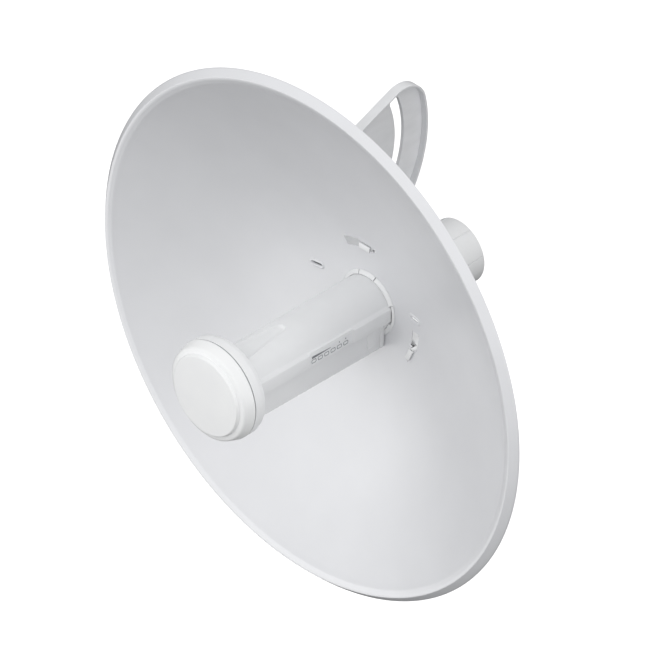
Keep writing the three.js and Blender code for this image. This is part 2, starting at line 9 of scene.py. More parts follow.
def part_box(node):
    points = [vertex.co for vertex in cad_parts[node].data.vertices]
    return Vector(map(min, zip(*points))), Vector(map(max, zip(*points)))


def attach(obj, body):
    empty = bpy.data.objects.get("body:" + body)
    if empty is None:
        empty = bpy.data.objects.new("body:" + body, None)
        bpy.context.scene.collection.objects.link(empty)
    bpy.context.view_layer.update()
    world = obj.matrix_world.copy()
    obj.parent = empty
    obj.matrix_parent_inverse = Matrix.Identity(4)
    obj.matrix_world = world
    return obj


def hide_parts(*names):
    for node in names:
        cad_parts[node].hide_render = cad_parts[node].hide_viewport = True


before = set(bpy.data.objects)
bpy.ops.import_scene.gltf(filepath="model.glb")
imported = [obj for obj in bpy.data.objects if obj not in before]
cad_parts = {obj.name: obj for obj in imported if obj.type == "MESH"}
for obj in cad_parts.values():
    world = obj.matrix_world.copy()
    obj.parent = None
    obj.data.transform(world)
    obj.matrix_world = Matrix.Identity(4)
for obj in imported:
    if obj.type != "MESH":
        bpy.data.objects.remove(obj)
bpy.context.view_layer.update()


# ---------------------------------------------------------------- studio and camera
# A pale floor well below the dish, a white surround that is brightest overhead, two soft lamps,
# and a card that lends the paint its sheen. The camera is a product drawing's: parallel rays.

dish_low, dish_high = (Vector(corner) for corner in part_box("reflector_dish"))
RIM = Vector(((dish_low.x + dish_high.x) / 2, dish_low.y, (dish_low.z + dish_high.z) / 2))

ISO_ELEVATION = math.atan(1 / math.sqrt(2))
AZIMUTH = math.radians(45)
FRAME_WIDTH, CAMERA_BACK, AIM_SHIFT = 0.4749, 3, (0.01736, 0.00481, 0)
look = Vector((-math.sin(AZIMUTH) * math.cos(ISO_ELEVATION),
               math.cos(AZIMUTH) * math.cos(ISO_ELEVATION),
               -math.sin(ISO_ELEVATION)))
turn = look.to_track_quat("-Z", "Y")
aim = RIM + turn @ Vector(AIM_SHIFT)


def linked(name, data):
    """A new object in the scene that holds a mesh, a lamp or a camera."""
    made = bpy.data.objects.new(name, data)
    bpy.context.collection.objects.link(made)
    return made


camera_data = bpy.data.cameras.new("camera")
camera_data.type = "ORTHO"
camera_data.ortho_scale = FRAME_WIDTH
camera = linked("camera", camera_data)
camera.location = aim - look * CAMERA_BACK
camera.rotation_mode = "QUATERNION"
camera.rotation_quaternion = turn
bpy.context.scene.camera = camera


def srgb(code):
    """A hex colour as linear red, green, blue and alpha."""
    channels = [int(code[i:i + 2], 16) / 255 for i in (1, 3, 5)]
    linear = [c / 12.92 if c <= 0.04045 else ((c + 0.055) / 1.055) ** 2.4 for c in channels]
    return (*linear, 1.0)


def node(tree, kind, links=(), **settings):
    """Adds a node. Settings name its inputs or properties; links join its inputs to outputs."""
    made = tree.nodes.new(kind)
    for name, value in settings.items():
        label = name.replace("_", " ")
        if hasattr(made, name):
            setattr(made, name, value)
        else:
            made.inputs[label].default_value = value
    for socket, source in links:
        tree.links.new(source, made.inputs[socket])
    return made


def lamp(name, size, power, away):
    """A round soft lamp, some way from the rim's centre and turned to it."""
    light = bpy.data.lights.new(name, "AREA")
    light.shape = "DISK"
    light.size = size
    light.energy = power
    made = linked(name, light)
    made.location = RIM + Vector(away)
    made.rotation_mode = "QUATERNION"
    made.rotation_quaternion = (-Vector(away)).to_track_quat("-Z", "Y")
    return made


# The studio's surround: a white ceiling, brightest a little forward of overhead, that falls off
# smoothly to darkness low behind the dish.
CEILING = (0.06, -0.5, 0.86)
CEILING_GLOW, DARK_BEYOND = 1.28, -0.55
world = bpy.data.worlds.new("studio_surround")
world.use_nodes = True
surround = world.node_tree
direction = node(surround, "ShaderNodeTexCoord").outputs["Generated"]
lean = node(surround, "ShaderNodeVectorMath", [(0, direction)], operation="DOT_PRODUCT")
lean.inputs[1].default_value = CEILING
glow = node(surround, "ShaderNodeMapRange", [("Value", lean.outputs["Value"])],
            From_Min=DARK_BEYOND, To_Max=CEILING_GLOW)
surround.links.new(glow.outputs["Result"], surround.nodes["Background"].inputs["Strength"])
surround.nodes["Background"].inputs["Color"].default_value = srgb("#FFFFFF")
bpy.context.scene.world = world
bpy.context.scene.view_settings.view_transform = "Standard"

lamp("front_high", 1.4, 6, (-0.2, -2.4, 0.5))
lamp("right_side", 1.2, 11, (2.3, 0.3, 0.0))
sheen_card = lamp("sheen_card", 2.0, 28, (-1.1, -1.85, -0.65))
sheen_card.visible_diffuse = False

FLOOR_DROP, FLOOR_REACH = 0.75, 6.0
SQUARE = ((-1, -1), (1, -1), (1, 1), (-1, 1))
floor_mesh = bpy.data.meshes.new("floor")
floor_mesh.from_pydata(
    [(u * FLOOR_REACH, v * FLOOR_REACH, RIM.z - FLOOR_DROP) for u, v in SQUARE], [], [(0, 1, 2, 3)])
floor = linked("floor", floor_mesh)
floor_paint = bpy.data.materials.new("floor_pale_vinyl")
floor_paint.use_nodes = True
floor_tree = floor_paint.node_tree
floor_shader = floor_tree.nodes["Principled BSDF"]
floor_shader.inputs["Base Color"].default_value = srgb("#F4F4F4")
floor_shader.inputs["Roughness"].default_value = 0.9
floor_shader.inputs["Emission Color"].default_value = srgb("#FFFFFF")
floor_shader.inputs["Emission Strength"].default_value = 0.35
floor_mesh.materials.append(floor_paint)
floor.visible_diffuse = floor.visible_glossy = floor.visible_shadow = False


# ---------------------------------------------------------------- reflector dish
# One disc of steel sheet, spun to a paraboloid, with its edge rolled back for stiffness.
# Three bayonet slots and two pressed peep slots are punched round the middle, and the whole
# is powder coated white, which leaves a very fine orange peel.

MM = 0.001
RIM_RADIUS = 210.0
LIP_OUTER = 204.8
LIP_INNER = 199.5
LIP_Y = 1.2
FLARE_OUT, FLARE_BACK, RIM_BACK = 209.3, 4.7, 6.2
APEX_Y = 64.0
SHEET = 1.0
DISH_HOLE = 25.7
BOWL_STEPS = 46


def arc(u, v, radius, start, stop, steps):
    """Points of a circular arc, by angle in degrees."""
    turns = [math.radians(start + (stop - start) * k / steps) for k in range(steps + 1)]
    return [(u + radius * math.cos(t), v + radius * math.sin(t)) for t in turns]


def rounded(corners, steps=4):
    """A closed outline whose corners, given as (u, v, radius), are rounded off."""
    outline = []
    count = len(corners)
    for k, (u, v, radius) in enumerate(corners):
        here = Vector((u, v))
        before = (Vector(corners[k - 1][:2]) - here)
        after = (Vector(corners[(k + 1) % count][:2]) - here)
        spread = before.angle(after) if radius > 0 else 0
        if radius <= 0 or spread > math.pi - 1e-3:
            outline.append((u, v))
            continue
        back = min(radius / math.tan(spread / 2), before.length * 0.49, after.length * 0.49)
        first = here + before.normalized() * back
        last = here + after.normalized() * back
        for s in range(steps + 1):
            t = s / steps
            bend = first.lerp(here, t).lerp(here.lerp(last, t), t)
            outline.append((bend.x, bend.y))
    return outline


def facing_out(outline):
    """The outline run anticlockwise."""
    area = sum(a[0] * b[1] - b[0] * a[1] for a, b in zip(outline, outline[1:] + outline[:1]))
    return outline if area > 0 else outline[::-1]


class Shape:
    """Closed shells gathered into one mesh, in millimetres about the centre of the rim."""

    def __init__(self):
        self.verts = []
        self.faces = []

    def grid(self, rows, close_rows=False, close_columns=True):
        """Joins rows of points into quads."""
        base = len(self.verts)
        width = len(rows[0])
        for row in rows:
            self.verts.extend(row)
        last_row = len(rows) if close_rows else len(rows) - 1
        last_column = width if close_columns else width - 1
        for r in range(last_row):
            for c in range(last_column):
                a = base + r * width + c
                b = base + r * width + (c + 1) % width
                d = base + ((r + 1) % len(rows)) * width + c
                e = base + ((r + 1) % len(rows)) * width + (c + 1) % width
                self.faces.append((a, b, e, d))

    def cap(self, loops, flip=False):
        """Fills an outline and its holes."""
        base = len(self.verts)
        points = [Vector(p) for loop in loops for p in loop]
        self.verts.extend(tuple(p) for p in points)
        for triangle in tessellate_polygon([[Vector(p) for p in loop] for loop in loops]):
            corners = tuple(base + i for i in triangle)
            self.faces.append(corners[::-1] if flip else corners)

    def add(self, other, move=None):
        base = len(self.verts)
        move = move or Matrix.Identity(4)
        self.verts.extend(tuple(move @ Vector(v)) for v in other.verts)
        self.faces.extend(tuple(base + i for i in face) for face in other.faces)
        return self


def lathe(profile, steps=192, start=0.0, stop=360.0):
    """Turns a closed profile of (radius, y) about the dish's axis; angles run from +Z to +X."""
    made = Shape()
    whole = abs(stop - start) >= 360
    turns = [math.radians(start + (stop - start) * k / steps)
             for k in range(steps if whole else steps + 1)]
    rows = [[(r * math.sin(t), y, r * math.cos(t)) for r, y in profile] for t in turns]
    made.grid(rows, close_rows=whole)
    if not whole:
        made.cap([rows[0]])
        made.cap([rows[-1]], flip=True)
    return made


def shade(mesh, sharp):
    """Smooth shading, but for edges where faces meet at more than an angle."""
    mesh.polygons.foreach_set("use_smooth", [True] * len(mesh.polygons))
    mesh.set_sharp_from_angle(angle=math.radians(sharp))


def welded(shape, name, sharp=32):
    """The shape as an object in metres, with doubles merged and its faces turned outwards."""
    mesh = bpy.data.meshes.new(name)
    mesh.from_pydata([RIM + Vector(v) * MM for v in shape.verts], [], shape.faces)
    work = bmesh.new()
    work.from_mesh(mesh)
    bmesh.ops.remove_doubles(work, verts=work.verts, dist=1e-6)
    bmesh.ops.dissolve_degenerate(work, dist=1e-7, edges=work.edges)
    bmesh.ops.recalc_face_normals(work, faces=work.faces)
    work.to_mesh(mesh)
    work.free()
    shade(mesh, sharp)
    return linked(name, mesh)


def fit(made, body, material, slot, *replaced):
    """Gives a finished piece its material and its place in the model."""
    made.data.materials.clear()
    made.data.materials.append(material)
    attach(made, body)
    if replaced:
        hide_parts(*replaced)


def paint(name, colour, roughness, metallic=0.0, ior=1.5):
    """A new material and its tree; the colour, roughness and metallic are set on the shader."""
    made = bpy.data.materials.new(name)
    made.use_nodes = True
    shader = made.node_tree.nodes["Principled BSDF"]
    shader.inputs["Base Color"].default_value = srgb(colour)
    shader.inputs["Roughness"].default_value = roughness
    shader.inputs["Metallic"].default_value = metallic
    shader.inputs["IOR"].default_value = ior
    return made, made.node_tree, shader


def mottle(tree, shader, low, high, size_mm, detail=3.0, stretch=(1, 1, 1)):
    """Base colour that drifts between two near shades over patches of a real size."""
    place = node(tree, "ShaderNodeTexCoord").outputs["Object"]
    scaled = node(tree, "ShaderNodeMapping", [("Vector", place)], Scale=stretch)
    patches = node(tree, "ShaderNodeTexNoise", [("Vector", scaled.outputs["Vector"])],
                   Scale=1 / (size_mm * MM), Detail=detail, Roughness=0.5)
    ramp = node(tree, "ShaderNodeValToRGB", [("Fac", patches.outputs["Fac"])])
    ramp.color_ramp.elements[0].position = 0.3
    ramp.color_ramp.elements[0].color = srgb(low)
    ramp.color_ramp.elements[1].position = 0.7
    ramp.color_ramp.elements[1].color = srgb(high)
    tree.links.new(ramp.outputs["Color"], shader.inputs["Base Color"])
    return scaled.outputs["Vector"]


def grain(tree, shader, place, size_mm, depth_mm, kind="noise", detail=2.0):
    """A bump of a real grain size and depth."""
    scale = 1 / (size_mm * MM)
    if kind == "noise":
        height = node(tree, "ShaderNodeTexNoise", [("Vector", place)],
                      Scale=scale, Detail=detail, Roughness=0.55).outputs["Fac"]
    else:
        height = node(tree, "ShaderNodeTexVoronoi", [("Vector", place)],
                      feature="SMOOTH_F1", Scale=scale).outputs["Distance"]
    bump = node(tree, "ShaderNodeBump", [("Height", height)], Strength=1.0,
                Distance=depth_mm * MM)
    tree.links.new(bump.outputs["Normal"], shader.inputs["Normal"])


# Polyester powder coat on steel: an even satin white. The melted powder leaves an orange peel
# about 2 mm across and a few microns deep, which softens the reflections.
powder_coat, tree, shader = paint("powder_coat_white", "#DDDEE1", 0.36)
coat_place = mottle(tree, shader, "#DCDDE0", "#DFE0E3", 38)
grain(tree, shader, coat_place, 1.9, 0.0035)
shader.inputs["Coat Weight"].default_value = 0.5
shader.inputs["Coat Roughness"].default_value = 0.38


def bowl_y(radius):
    return APEX_Y - (APEX_Y - LIP_Y) * (radius / LIP_INNER) ** 2


def bowl_slope(radius):
    return -2 * (APEX_Y - LIP_Y) * radius / LIP_INNER ** 2


def bowl_back_y(radius):
    return bowl_y(radius) + SHEET * math.hypot(1, bowl_slope(radius))


SLOT_ANGLES = (0, 115, 241)
MOUTH = (46.5, 54.0, -24.0, -6.5)
NECK = (48.6, 52.0, -6.9, 10.0)
PEEP_X, PEEP_Z, PEEP_LENGTH, PEEP_WIDTH = 49.5, 10.6, 9.0, 2.0
PUNCH_STROKE = (45, 80)

bowl_radii = [DISH_HOLE + (LIP_INNER - 1.2 - DISH_HOLE) * k / BOWL_STEPS
              for k in range(BOWL_STEPS + 1)]
bowl_front = [(r, bowl_y(r)) for r in bowl_radii]
bowl_back = [(r, bowl_back_y(r)) for r in reversed(bowl_radii)]
rolled_edge = [(LIP_INNER - 0.5, LIP_Y + 0.2), (LIP_INNER + 0.1, LIP_Y - 0.05),
               (LIP_INNER + 0.9, LIP_Y - 0.42), (LIP_INNER + 2.0, 0.5)]
rolled_edge += rounded([(LIP_OUTER - 3, 0.3, 0), (LIP_OUTER, 0.0, 0.8),
                        (FLARE_OUT, FLARE_BACK, 1.0), (RIM_RADIUS, RIM_BACK, 0.3),
                        (RIM_RADIUS - 1.0, RIM_BACK, 0.3), (FLARE_OUT - 0.9, FLARE_BACK + 0.6, 0.8),
                        (LIP_OUTER - 0.4, 1.1, 0.8), (LIP_INNER + 3.0, 1.5, 0)], 4)
rolled_edge += [(LIP_INNER + 1.4, 1.95), (LIP_INNER + 0.3, 2.4)]
dish = welded(lathe(bowl_front + rolled_edge + bowl_back, 288), "dish_shell")


def prism(outline, low, high, axis="y", holes=(), bevel=0.0, rings=3):
    """Pushes an outline through from low to high along an axis, with rounded outer edges."""
    outline = facing_out([tuple(p) for p in outline])
    holes = [facing_out([tuple(p) for p in hole])[::-1] for hole in holes]
    made = Shape()

    def offset(loop, inset):
        moved = []
        count = len(loop)
        for k, here in enumerate(loop):
            before = loop[k - 1]
            after = loop[(k + 1) % count]
            first = Vector((here[0] - before[0], here[1] - before[1]))
            second = Vector((after[0] - here[0], after[1] - here[1]))
            if first.length < 1e-9 or second.length < 1e-9:
                moved.append(here)
                continue
            first.normalize()
            second.normalize()
            normal = Vector((-(first.y + second.y), first.x + second.x))
            if normal.length < 1e-6:
                moved.append(here)
                continue
            normal.normalize()
            stretch = max(0.35, normal.x * -first.y + normal.y * first.x)
            moved.append((here[0] + normal.x * inset / stretch,
                          here[1] + normal.y * inset / stretch))
        return moved

    def put(loop, level):
        if axis == "x":
            return [(level, u, v) for u, v in loop]
        if axis == "y":
            return [(u, level, v) for u, v in loop]
        return [(u, v, level) for u, v in loop]

    stations = [(low, 0.0), (high, 0.0)]
    if bevel > 0:
        quarter = [math.radians(90 * k / rings) for k in range(rings + 1)]
        stations = [(low + bevel * (1 - math.sin(q)), bevel * (1 - math.cos(q)))
                    for q in reversed(quarter)]
        stations += [(high - bevel * (1 - math.sin(q)), bevel * (1 - math.cos(q)))
                     for q in quarter]
    for loop in [outline, *holes]:
        made.grid([put(offset(loop, inset), level) for level, inset in stations])
    for end in (0, -1):
        level, inset = stations[end]
        made.cap([put(offset(loop, inset), level) for loop in [outline, *holes]])
    return made


def sector(inner, outer, start, stop, steps=10):
    """A piece of a flat ring in x and z, between two angles from +Z to +X."""
    def at(radius, k):
        t = math.radians(start + (stop - start) * k / steps)
        return (radius * math.sin(t), radius * math.cos(t))
    return [at(inner, k) for k in range(steps + 1)] + [at(outer, k) for k in range(steps, -1, -1)]


def stadium(x, z, length, width, steps=8):
    half = length / 2 - width / 2
    return (arc(x + half, z, width / 2, -90, 90, steps)
            + arc(x - half, z, width / 2, 90, 270, steps))


punch = Shape()
for angle in SLOT_ANGLES:
    for inner, outer, start, stop in (MOUTH, NECK):
        slot = sector(inner, outer, angle + start, angle + stop)
        punch.add(prism(slot, *PUNCH_STROKE))
for side in (-1, 1):
    peep = stadium(side * PEEP_X, PEEP_Z, PEEP_LENGTH, PEEP_WIDTH)
    punch.add(prism(peep, *PUNCH_STROKE))


def settled(made):
    """The plain mesh that an object's modifiers make of it; the modifiers are then removed."""
    bpy.context.view_layer.update()
    result = bpy.data.meshes.new_from_object(
        made.evaluated_get(bpy.context.evaluated_depsgraph_get()))
    made.modifiers.clear()
    return result


def cut(made, tool):
    """Cuts one closed piece out of another, and throws the tool away."""
    step = made.modifiers.new("cut", "BOOLEAN")
    step.operation = "DIFFERENCE"
    step.solver = "EXACT"
    step.use_self = True
    step.object = tool
    made.data = settled(made)
    shade(made.data, 32)
    bpy.data.objects.remove(tool)


cut(dish, welded(punch, "punch_tool"))
dish.data.name = "dish_shell"
fit(dish, "reflector", powder_coat, "painted_steel", "reflector_dish")


# Each peep slot has a raised border, pressed forward round the punched hole. Its section is
# given by how far each line stands out round the hole and forward of the bowl.
BORDER_SECTION = ((2.3, -0.15), (1.9, 0.42), (1.45, 0.62), (0.75, 0.62), (0.3, 0.42), (0.05, -0.6))


def pressed_border(side):
    rings = []
    for grow, lift in BORDER_SECTION:
        loop = stadium(side * PEEP_X, PEEP_Z, PEEP_LENGTH + 2 * grow, PEEP_WIDTH + 2 * grow)
        rings.append([(x, bowl_y(math.hypot(x, z)) - lift, z) for x, z in loop])
    made = Shape()
    made.grid(rings + [[(x, bowl_y(math.hypot(x, z)) + 0.6, z) for x, _, z in rings[0]]],
              close_rows=True)
    return made


borders = Shape()
for side in (-1, 1):
    borders.add(pressed_border(side))
fit(welded(borders, "peep_slot_borders", 50), "reflector", powder_coat, "painted_steel")


# ---------------------------------------------------------------- rear housing
# One moulding in weatherproof ASA: a sleeve for the feed's tail, three arms whose hooks pass
# through the bayonet slots, and a ribbed saddle at the side for the elevation plate. Lines
# along the sleeve show where its halves and its snap panel meet.

SLEEVE_OUTER, SLEEVE_INNER, SLEEVE_END = 25.3, 23.2, 155.5
HUB_FRONT, HUB_BACK, HUB_RADIUS, HUB_SEAT = 64.9, 70.5, 36.0, 25.5
SLEEVE_LINES, GROOVE_DEPTH, GROOVE_HALF = (26, 75, -26, -75), 0.7, 0.8
GUSSET_TURNS = (40, 80, 158, 200, 320)

# ASA moulding, unpainted: a hair whiter than the dish, with the fine matt of a spark-eroded
# mould, about 0.5 mm across here so that it shows, and a slightly soft sheen.
asa_white, tree, shader = paint("moulded_asa_white", "#ECEDEE", 0.42)
asa_place = mottle(tree, shader, "#EBECED", "#EEEFF0", 22)
grain(tree, shader, asa_place, 0.5, 0.004, "voronoi")
shader.inputs["Subsurface Weight"].default_value = 0.03
shader.inputs["Subsurface Radius"].default_value = (0.002, 0.002, 0.002)

sleeve_profile = rounded([
    (HUB_SEAT, HUB_FRONT, 0.4), (HUB_RADIUS, HUB_FRONT, 0.8), (HUB_RADIUS, HUB_BACK, 1.2),
    (SLEEVE_OUTER + 3.2, HUB_BACK + 1.2, 3.0), (SLEEVE_OUTER, HUB_BACK + 9, 4.0),
    (SLEEVE_OUTER, SLEEVE_END, 1.8), (SLEEVE_INNER, SLEEVE_END, 0.5), (SLEEVE_INNER, 67.3, 0.3),
    (HUB_SEAT, 67.3, 0.2)], 6)
# Long runs of the profile are divided, so that the parting lines can start and stop along them.
fine = []
for k, here in enumerate(sleeve_profile):
    after = sleeve_profile[(k + 1) % len(sleeve_profile)]
    fine.append(here)
    span = math.dist(here, after)
    steps = int(span // 12)
    fine += [(here[0] + (after[0] - here[0]) * s / (steps + 1),
              here[1] + (after[1] - here[1]) * s / (steps + 1)) for s in range(1, steps + 1)]
housing = Shape()
turns = sorted({*(k * 2.0 for k in range(180)),
                *((line + step) % 360 for line in SLEEVE_LINES
                  for step in (-1.5, -1.2, -0.6, 0, 0.6, 1.2, 1.5))})


def groove_depth(degrees, y):
    """How deep the parting lines cut in, at an angle and a distance along the sleeve."""
    if y < HUB_BACK + 9 or y > SLEEVE_END - 3.5:
        return 0.0
    away = min(abs((degrees - line + 180) % 360 - 180) for line in SLEEVE_LINES)
    return GROOVE_DEPTH if away < GROOVE_HALF else 0.0


rows = []
for degrees in turns:
    t = math.radians(degrees)
    row = []
    for r, y in fine:
        r -= groove_depth(degrees, y) if r > SLEEVE_OUTER - 0.1 else 0.0
        row.append((r * math.sin(t), y, r * math.cos(t)))
    rows.append(row)
housing.grid(rows, close_rows=True)


def turned_about_y(degrees):
    return Matrix.Rotation(math.radians(degrees), 4, "Y")


def block(x0, x1, y0, y1, z0, z1, bevel=0.5, axis="y"):
    """A box with rounded edges, or with square ones along its axis."""
    spans = {"x": ((y0, y1), (z0, z1), (x0, x1)), "y": ((x0, x1), (z0, z1), (y0, y1)),
             "z": ((x0, x1), (y0, y1), (z0, z1))}[axis]
    (u0, u1), (v0, v1), (low, high) = spans
    corners = [(u0, v0, bevel), (u1, v0, bevel), (u1, v1, bevel), (u0, v1, bevel)]
    return prism(rounded(corners, 3), low, high, axis, bevel=bevel)


HOOK_AT, HOOK_HALF, HOOK_STEM, HOOK_LIP = 0.3, 6.0, (48.95, 51.65), (48.25, 52.35)
lip_back = bowl_y(52.4) - 0.4
for angle in SLOT_ANGLES:
    move = turned_about_y(angle + HOOK_AT)
    housing.add(block(-6.5, 6.5, HUB_FRONT, HUB_FRONT + 6.6, 28, 56, 1.0), move)
    housing.add(block(-1.1, 1.1, HUB_FRONT + 5, HUB_FRONT + 10.5, 24, 53, 0.5), move)
    stem = sector(*HOOK_STEM, -HOOK_HALF, HOOK_HALF)
    housing.add(prism(stem, lip_back - 1, HUB_FRONT + 1), move)
    lip = sector(*HOOK_LIP, -HOOK_HALF, HOOK_HALF)
    housing.add(prism(lip, lip_back - 1.6, lip_back, bevel=0.35), move)

# The saddle's walls stand round two pockets that open to the rear.
SADDLE_X, SADDLE_FRONT, SADDLE_BACK, SADDLE_HALF, SADDLE_WALL = -53.7, 74.7, 104.0, 19.5, 3
for z0, z1 in ((-SADDLE_HALF, -SADDLE_HALF + SADDLE_WALL), (-SADDLE_WALL / 2, SADDLE_WALL / 2),
               (SADDLE_HALF - SADDLE_WALL, SADDLE_HALF)):
    inner_x = -math.sqrt(24.4 ** 2 - max(abs(z0), abs(z1)) ** 2)
    housing.add(block(SADDLE_X + 1, inner_x, SADDLE_FRONT, SADDLE_BACK, z0, z1, 0.5))
for x1, y1 in ((SADDLE_X + SADDLE_WALL, SADDLE_BACK), (-24.2, SADDLE_FRONT + SADDLE_WALL)):
    housing.add(block(SADDLE_X, x1, SADDLE_FRONT, y1, -SADDLE_HALF, SADDLE_HALF, 0.6))
for z in (-9, 9):
    housing.add(block(SADDLE_X + 2, -24.0, SADDLE_FRONT + 1, SADDLE_FRONT + 6,
                      z - 0.9, z + 0.9, 0.4))

# Gussets spread the load from the sleeve to the hub ring.
for degrees in GUSSET_TURNS:
    gusset = Shape()
    fin = prism(rounded([(24.9, 69.5, 0), (34.6, 69.5, 0), (34.4, 71.4, 0.6), (26.5, 84, 1.0),
                         (24.9, 84.5, 0)], 3), -0.9, 0.9, "x", bevel=0.3)
    gusset.verts = [(x, v, u) for x, u, v in fin.verts]
    gusset.faces = fin.faces
    housing.add(gusset, turned_about_y(degrees))

# The latch's window in the sleeve, with a small gap all round the tongue.
LATCH_ANGLE, LATCH_FROM, LATCH_TO = 119, 100.0, 122.0
window_cut = Shape().add(block(-5.6, 5.6, LATCH_FROM + 0.6, LATCH_TO + 0.7, 20, 30, 0.6, "z"),
                         turned_about_y(LATCH_ANGLE))
rear_housing = welded(housing, "rear_housing_moulding", 40)
cut(rear_housing, welded(window_cut, "latch_window"))
fit(rear_housing, "bracket", asa_white, "white_plastic", "rear_housing")


# ---------------------------------------------------------------- mouth collar
# A ring snapped into the sleeve's mouth, in the same ASA: a bright 45-degree chamfer round the
# feed, notched twice at the top for the fitting tool and split beside each rail.

COLLAR_IN, COLLAR_SEAT, COLLAR_FRONT, COLLAR_LIP, COLLAR_BACK = 23.0, 25.4, 61.0, 63.3, 66.9
BESIDE_IN = 24.8
seat = [(COLLAR_SEAT, COLLAR_LIP, 0.1), (COLLAR_SEAT, COLLAR_BACK, 0.2)]
collar_profile = rounded([(COLLAR_IN, COLLAR_FRONT, 0.1), (23.6, COLLAR_FRONT - 0.1, 0.2),
                          (26.3, 62.7, 0.25), *seat, (COLLAR_IN, COLLAR_BACK, 0.2)], 4)
beside_rail = rounded([(BESIDE_IN, COLLAR_FRONT + 0.4, 0.2), (26.9, 62.5, 0.3), *seat,
                       (BESIDE_IN, COLLAR_BACK, 0.2)], 4)
COLLAR_ARCS = ((-20, 15.2), (17.2, 70.6), (109, 178), (180, 251), (289.4, 338))
RAIL_ARCS = ((71.4, 108), (252, 288.6))
collar = Shape()
for start, stop in COLLAR_ARCS:
    collar.add(lathe(collar_profile, int((stop - start) / 1.5), start, stop))
for start, stop in RAIL_ARCS:
    collar.add(lathe(beside_rail, 26, start, stop))
collar.add(lathe(rounded([(23.05, 65.2, 0.1), (25.1, 65.2, 0.1), (25.1, 66.95, 0.1),
                          (23.05, 66.95, 0.1)], 2), 160))
fit(welded(collar, "mouth_collar_ring", 40), "bracket", asa_white, "white_plastic", "mouth_collar")


# ---------------------------------------------------------------- elevation plate
# A glass-filled nylon casting, white: a flat web with a wall all round its edge, a boss at the
# pivot, and the curved slot that the lock bolt rides in. It is fixed to the saddle's face.

PIVOT_Y, PIVOT_Z = 68.0, 80.5
PLATE_OUTER_X, PLATE_INNER_X, FLANGE_X = -57.0, -54.0, -49.0
PLATE_RIM, BOSS, FLANGE_WALL = 104.5, 14.0, 1.8
CORNER_Y, CORNER_Z, CORNER_R = 148.5, 98.6, 22.0
SLOT_R, SLOT_HALF, SLOT_FROM, SLOT_TO = 80.0, 4.5, -52.5, 20.3

# Nylon filled with glass comes out of the mould a little greyer and duller than ASA, with a
# faint cloudiness where the fibres lie.
nylon_grey, tree, shader = paint("glass_nylon_white", "#E6E7E9", 0.5)
nylon_place = mottle(tree, shader, "#E3E4E6", "#E9EAEC", 9, stretch=(1, 0.4, 1))
grain(tree, shader, nylon_place, 0.7, 0.006, "voronoi")


def plate_outline(inset):
    """The plate's edge in y and z, anticlockwise from the lower front corner."""
    rim, boss = PLATE_RIM - inset, BOSS - inset
    corner_start = math.degrees(math.atan2(CORNER_Z - PIVOT_Z, CORNER_Y - PIVOT_Y))
    top = math.degrees(math.atan(0.4)) + 90
    rim_start = (PIVOT_Y + rim * math.cos(math.radians(-62)),
                 PIVOT_Z + rim * math.sin(math.radians(-62)))
    low = Vector((101, -22 + inset))
    bend = Vector((112 - inset, -22 + inset))
    foot = [tuple(low.lerp(bend, s / 8).lerp(bend.lerp(Vector(rim_start), s / 8), s / 8))
            for s in range(8)]
    outline = [(72.5 + inset, -22 + inset)] + foot
    outline += arc(PIVOT_Y, PIVOT_Z, rim, -62, corner_start, 48)
    outline += arc(CORNER_Y, CORNER_Z, CORNER_R - inset, corner_start + 2, top, 24)
    outline += [(100 + 0.3 * inset, 102.9 - 0.95 * inset)]
    outline += arc(PIVOT_Y, PIVOT_Z, boss, 104, 180, 14)
    outline += [(72.5 + inset, 46)]
    return outline


def arc_slot():
    """The curved slot's outline in y and z."""
    low, high = arc(PIVOT_Y, PIVOT_Z, SLOT_R, SLOT_FROM, SLOT_TO, 1)
    return (arc(PIVOT_Y, PIVOT_Z, SLOT_R + SLOT_HALF, SLOT_FROM, SLOT_TO, 40)
            + arc(*high, SLOT_HALF, SLOT_TO, SLOT_TO + 180, 12)[1:-1]
            + arc(PIVOT_Y, PIVOT_Z, SLOT_R - SLOT_HALF, SLOT_TO, SLOT_FROM, 40)
            + arc(*low, SLOT_HALF, SLOT_FROM + 180, SLOT_FROM + 360, 12)[1:-1])


def circle(u, v, radius, steps=32):
    return arc(u, v, radius, 0, 360, steps)[:-1]


plate = Shape()
screw_places = [(y, z) for y in (84, 98) for z in (-10, 10)]
plate.add(prism(plate_outline(0.9), PLATE_OUTER_X, PLATE_INNER_X, "x",
                holes=[arc_slot(), circle(PIVOT_Y, PIVOT_Z, 4.4),
                       *[circle(y, z, 2.1, 20) for y, z in screw_places]], bevel=0.25))
plate.add(prism(plate_outline(0.0), PLATE_OUTER_X, FLANGE_X, "x",
                holes=[plate_outline(FLANGE_WALL)], bevel=0.5))
plate.add(prism(circle(PIVOT_Y, PIVOT_Z, 9.4, 40), PLATE_INNER_X - 1, PLATE_INNER_X + 0.22, "x",
                holes=[circle(PIVOT_Y, PIVOT_Z, 4.45)], bevel=0.1))
fit(welded(plate, "elevation_plate_casting", 30), "bracket", nylon_grey, "white_plastic",
    "elevation_plate")


# ---------------------------------------------------------------- feed latch
# A springy tongue of the same ASA, low on the sleeve's side. Its hooked end holds the feed's
# tail, and the ribbed pad outside is pressed to let the feed go.

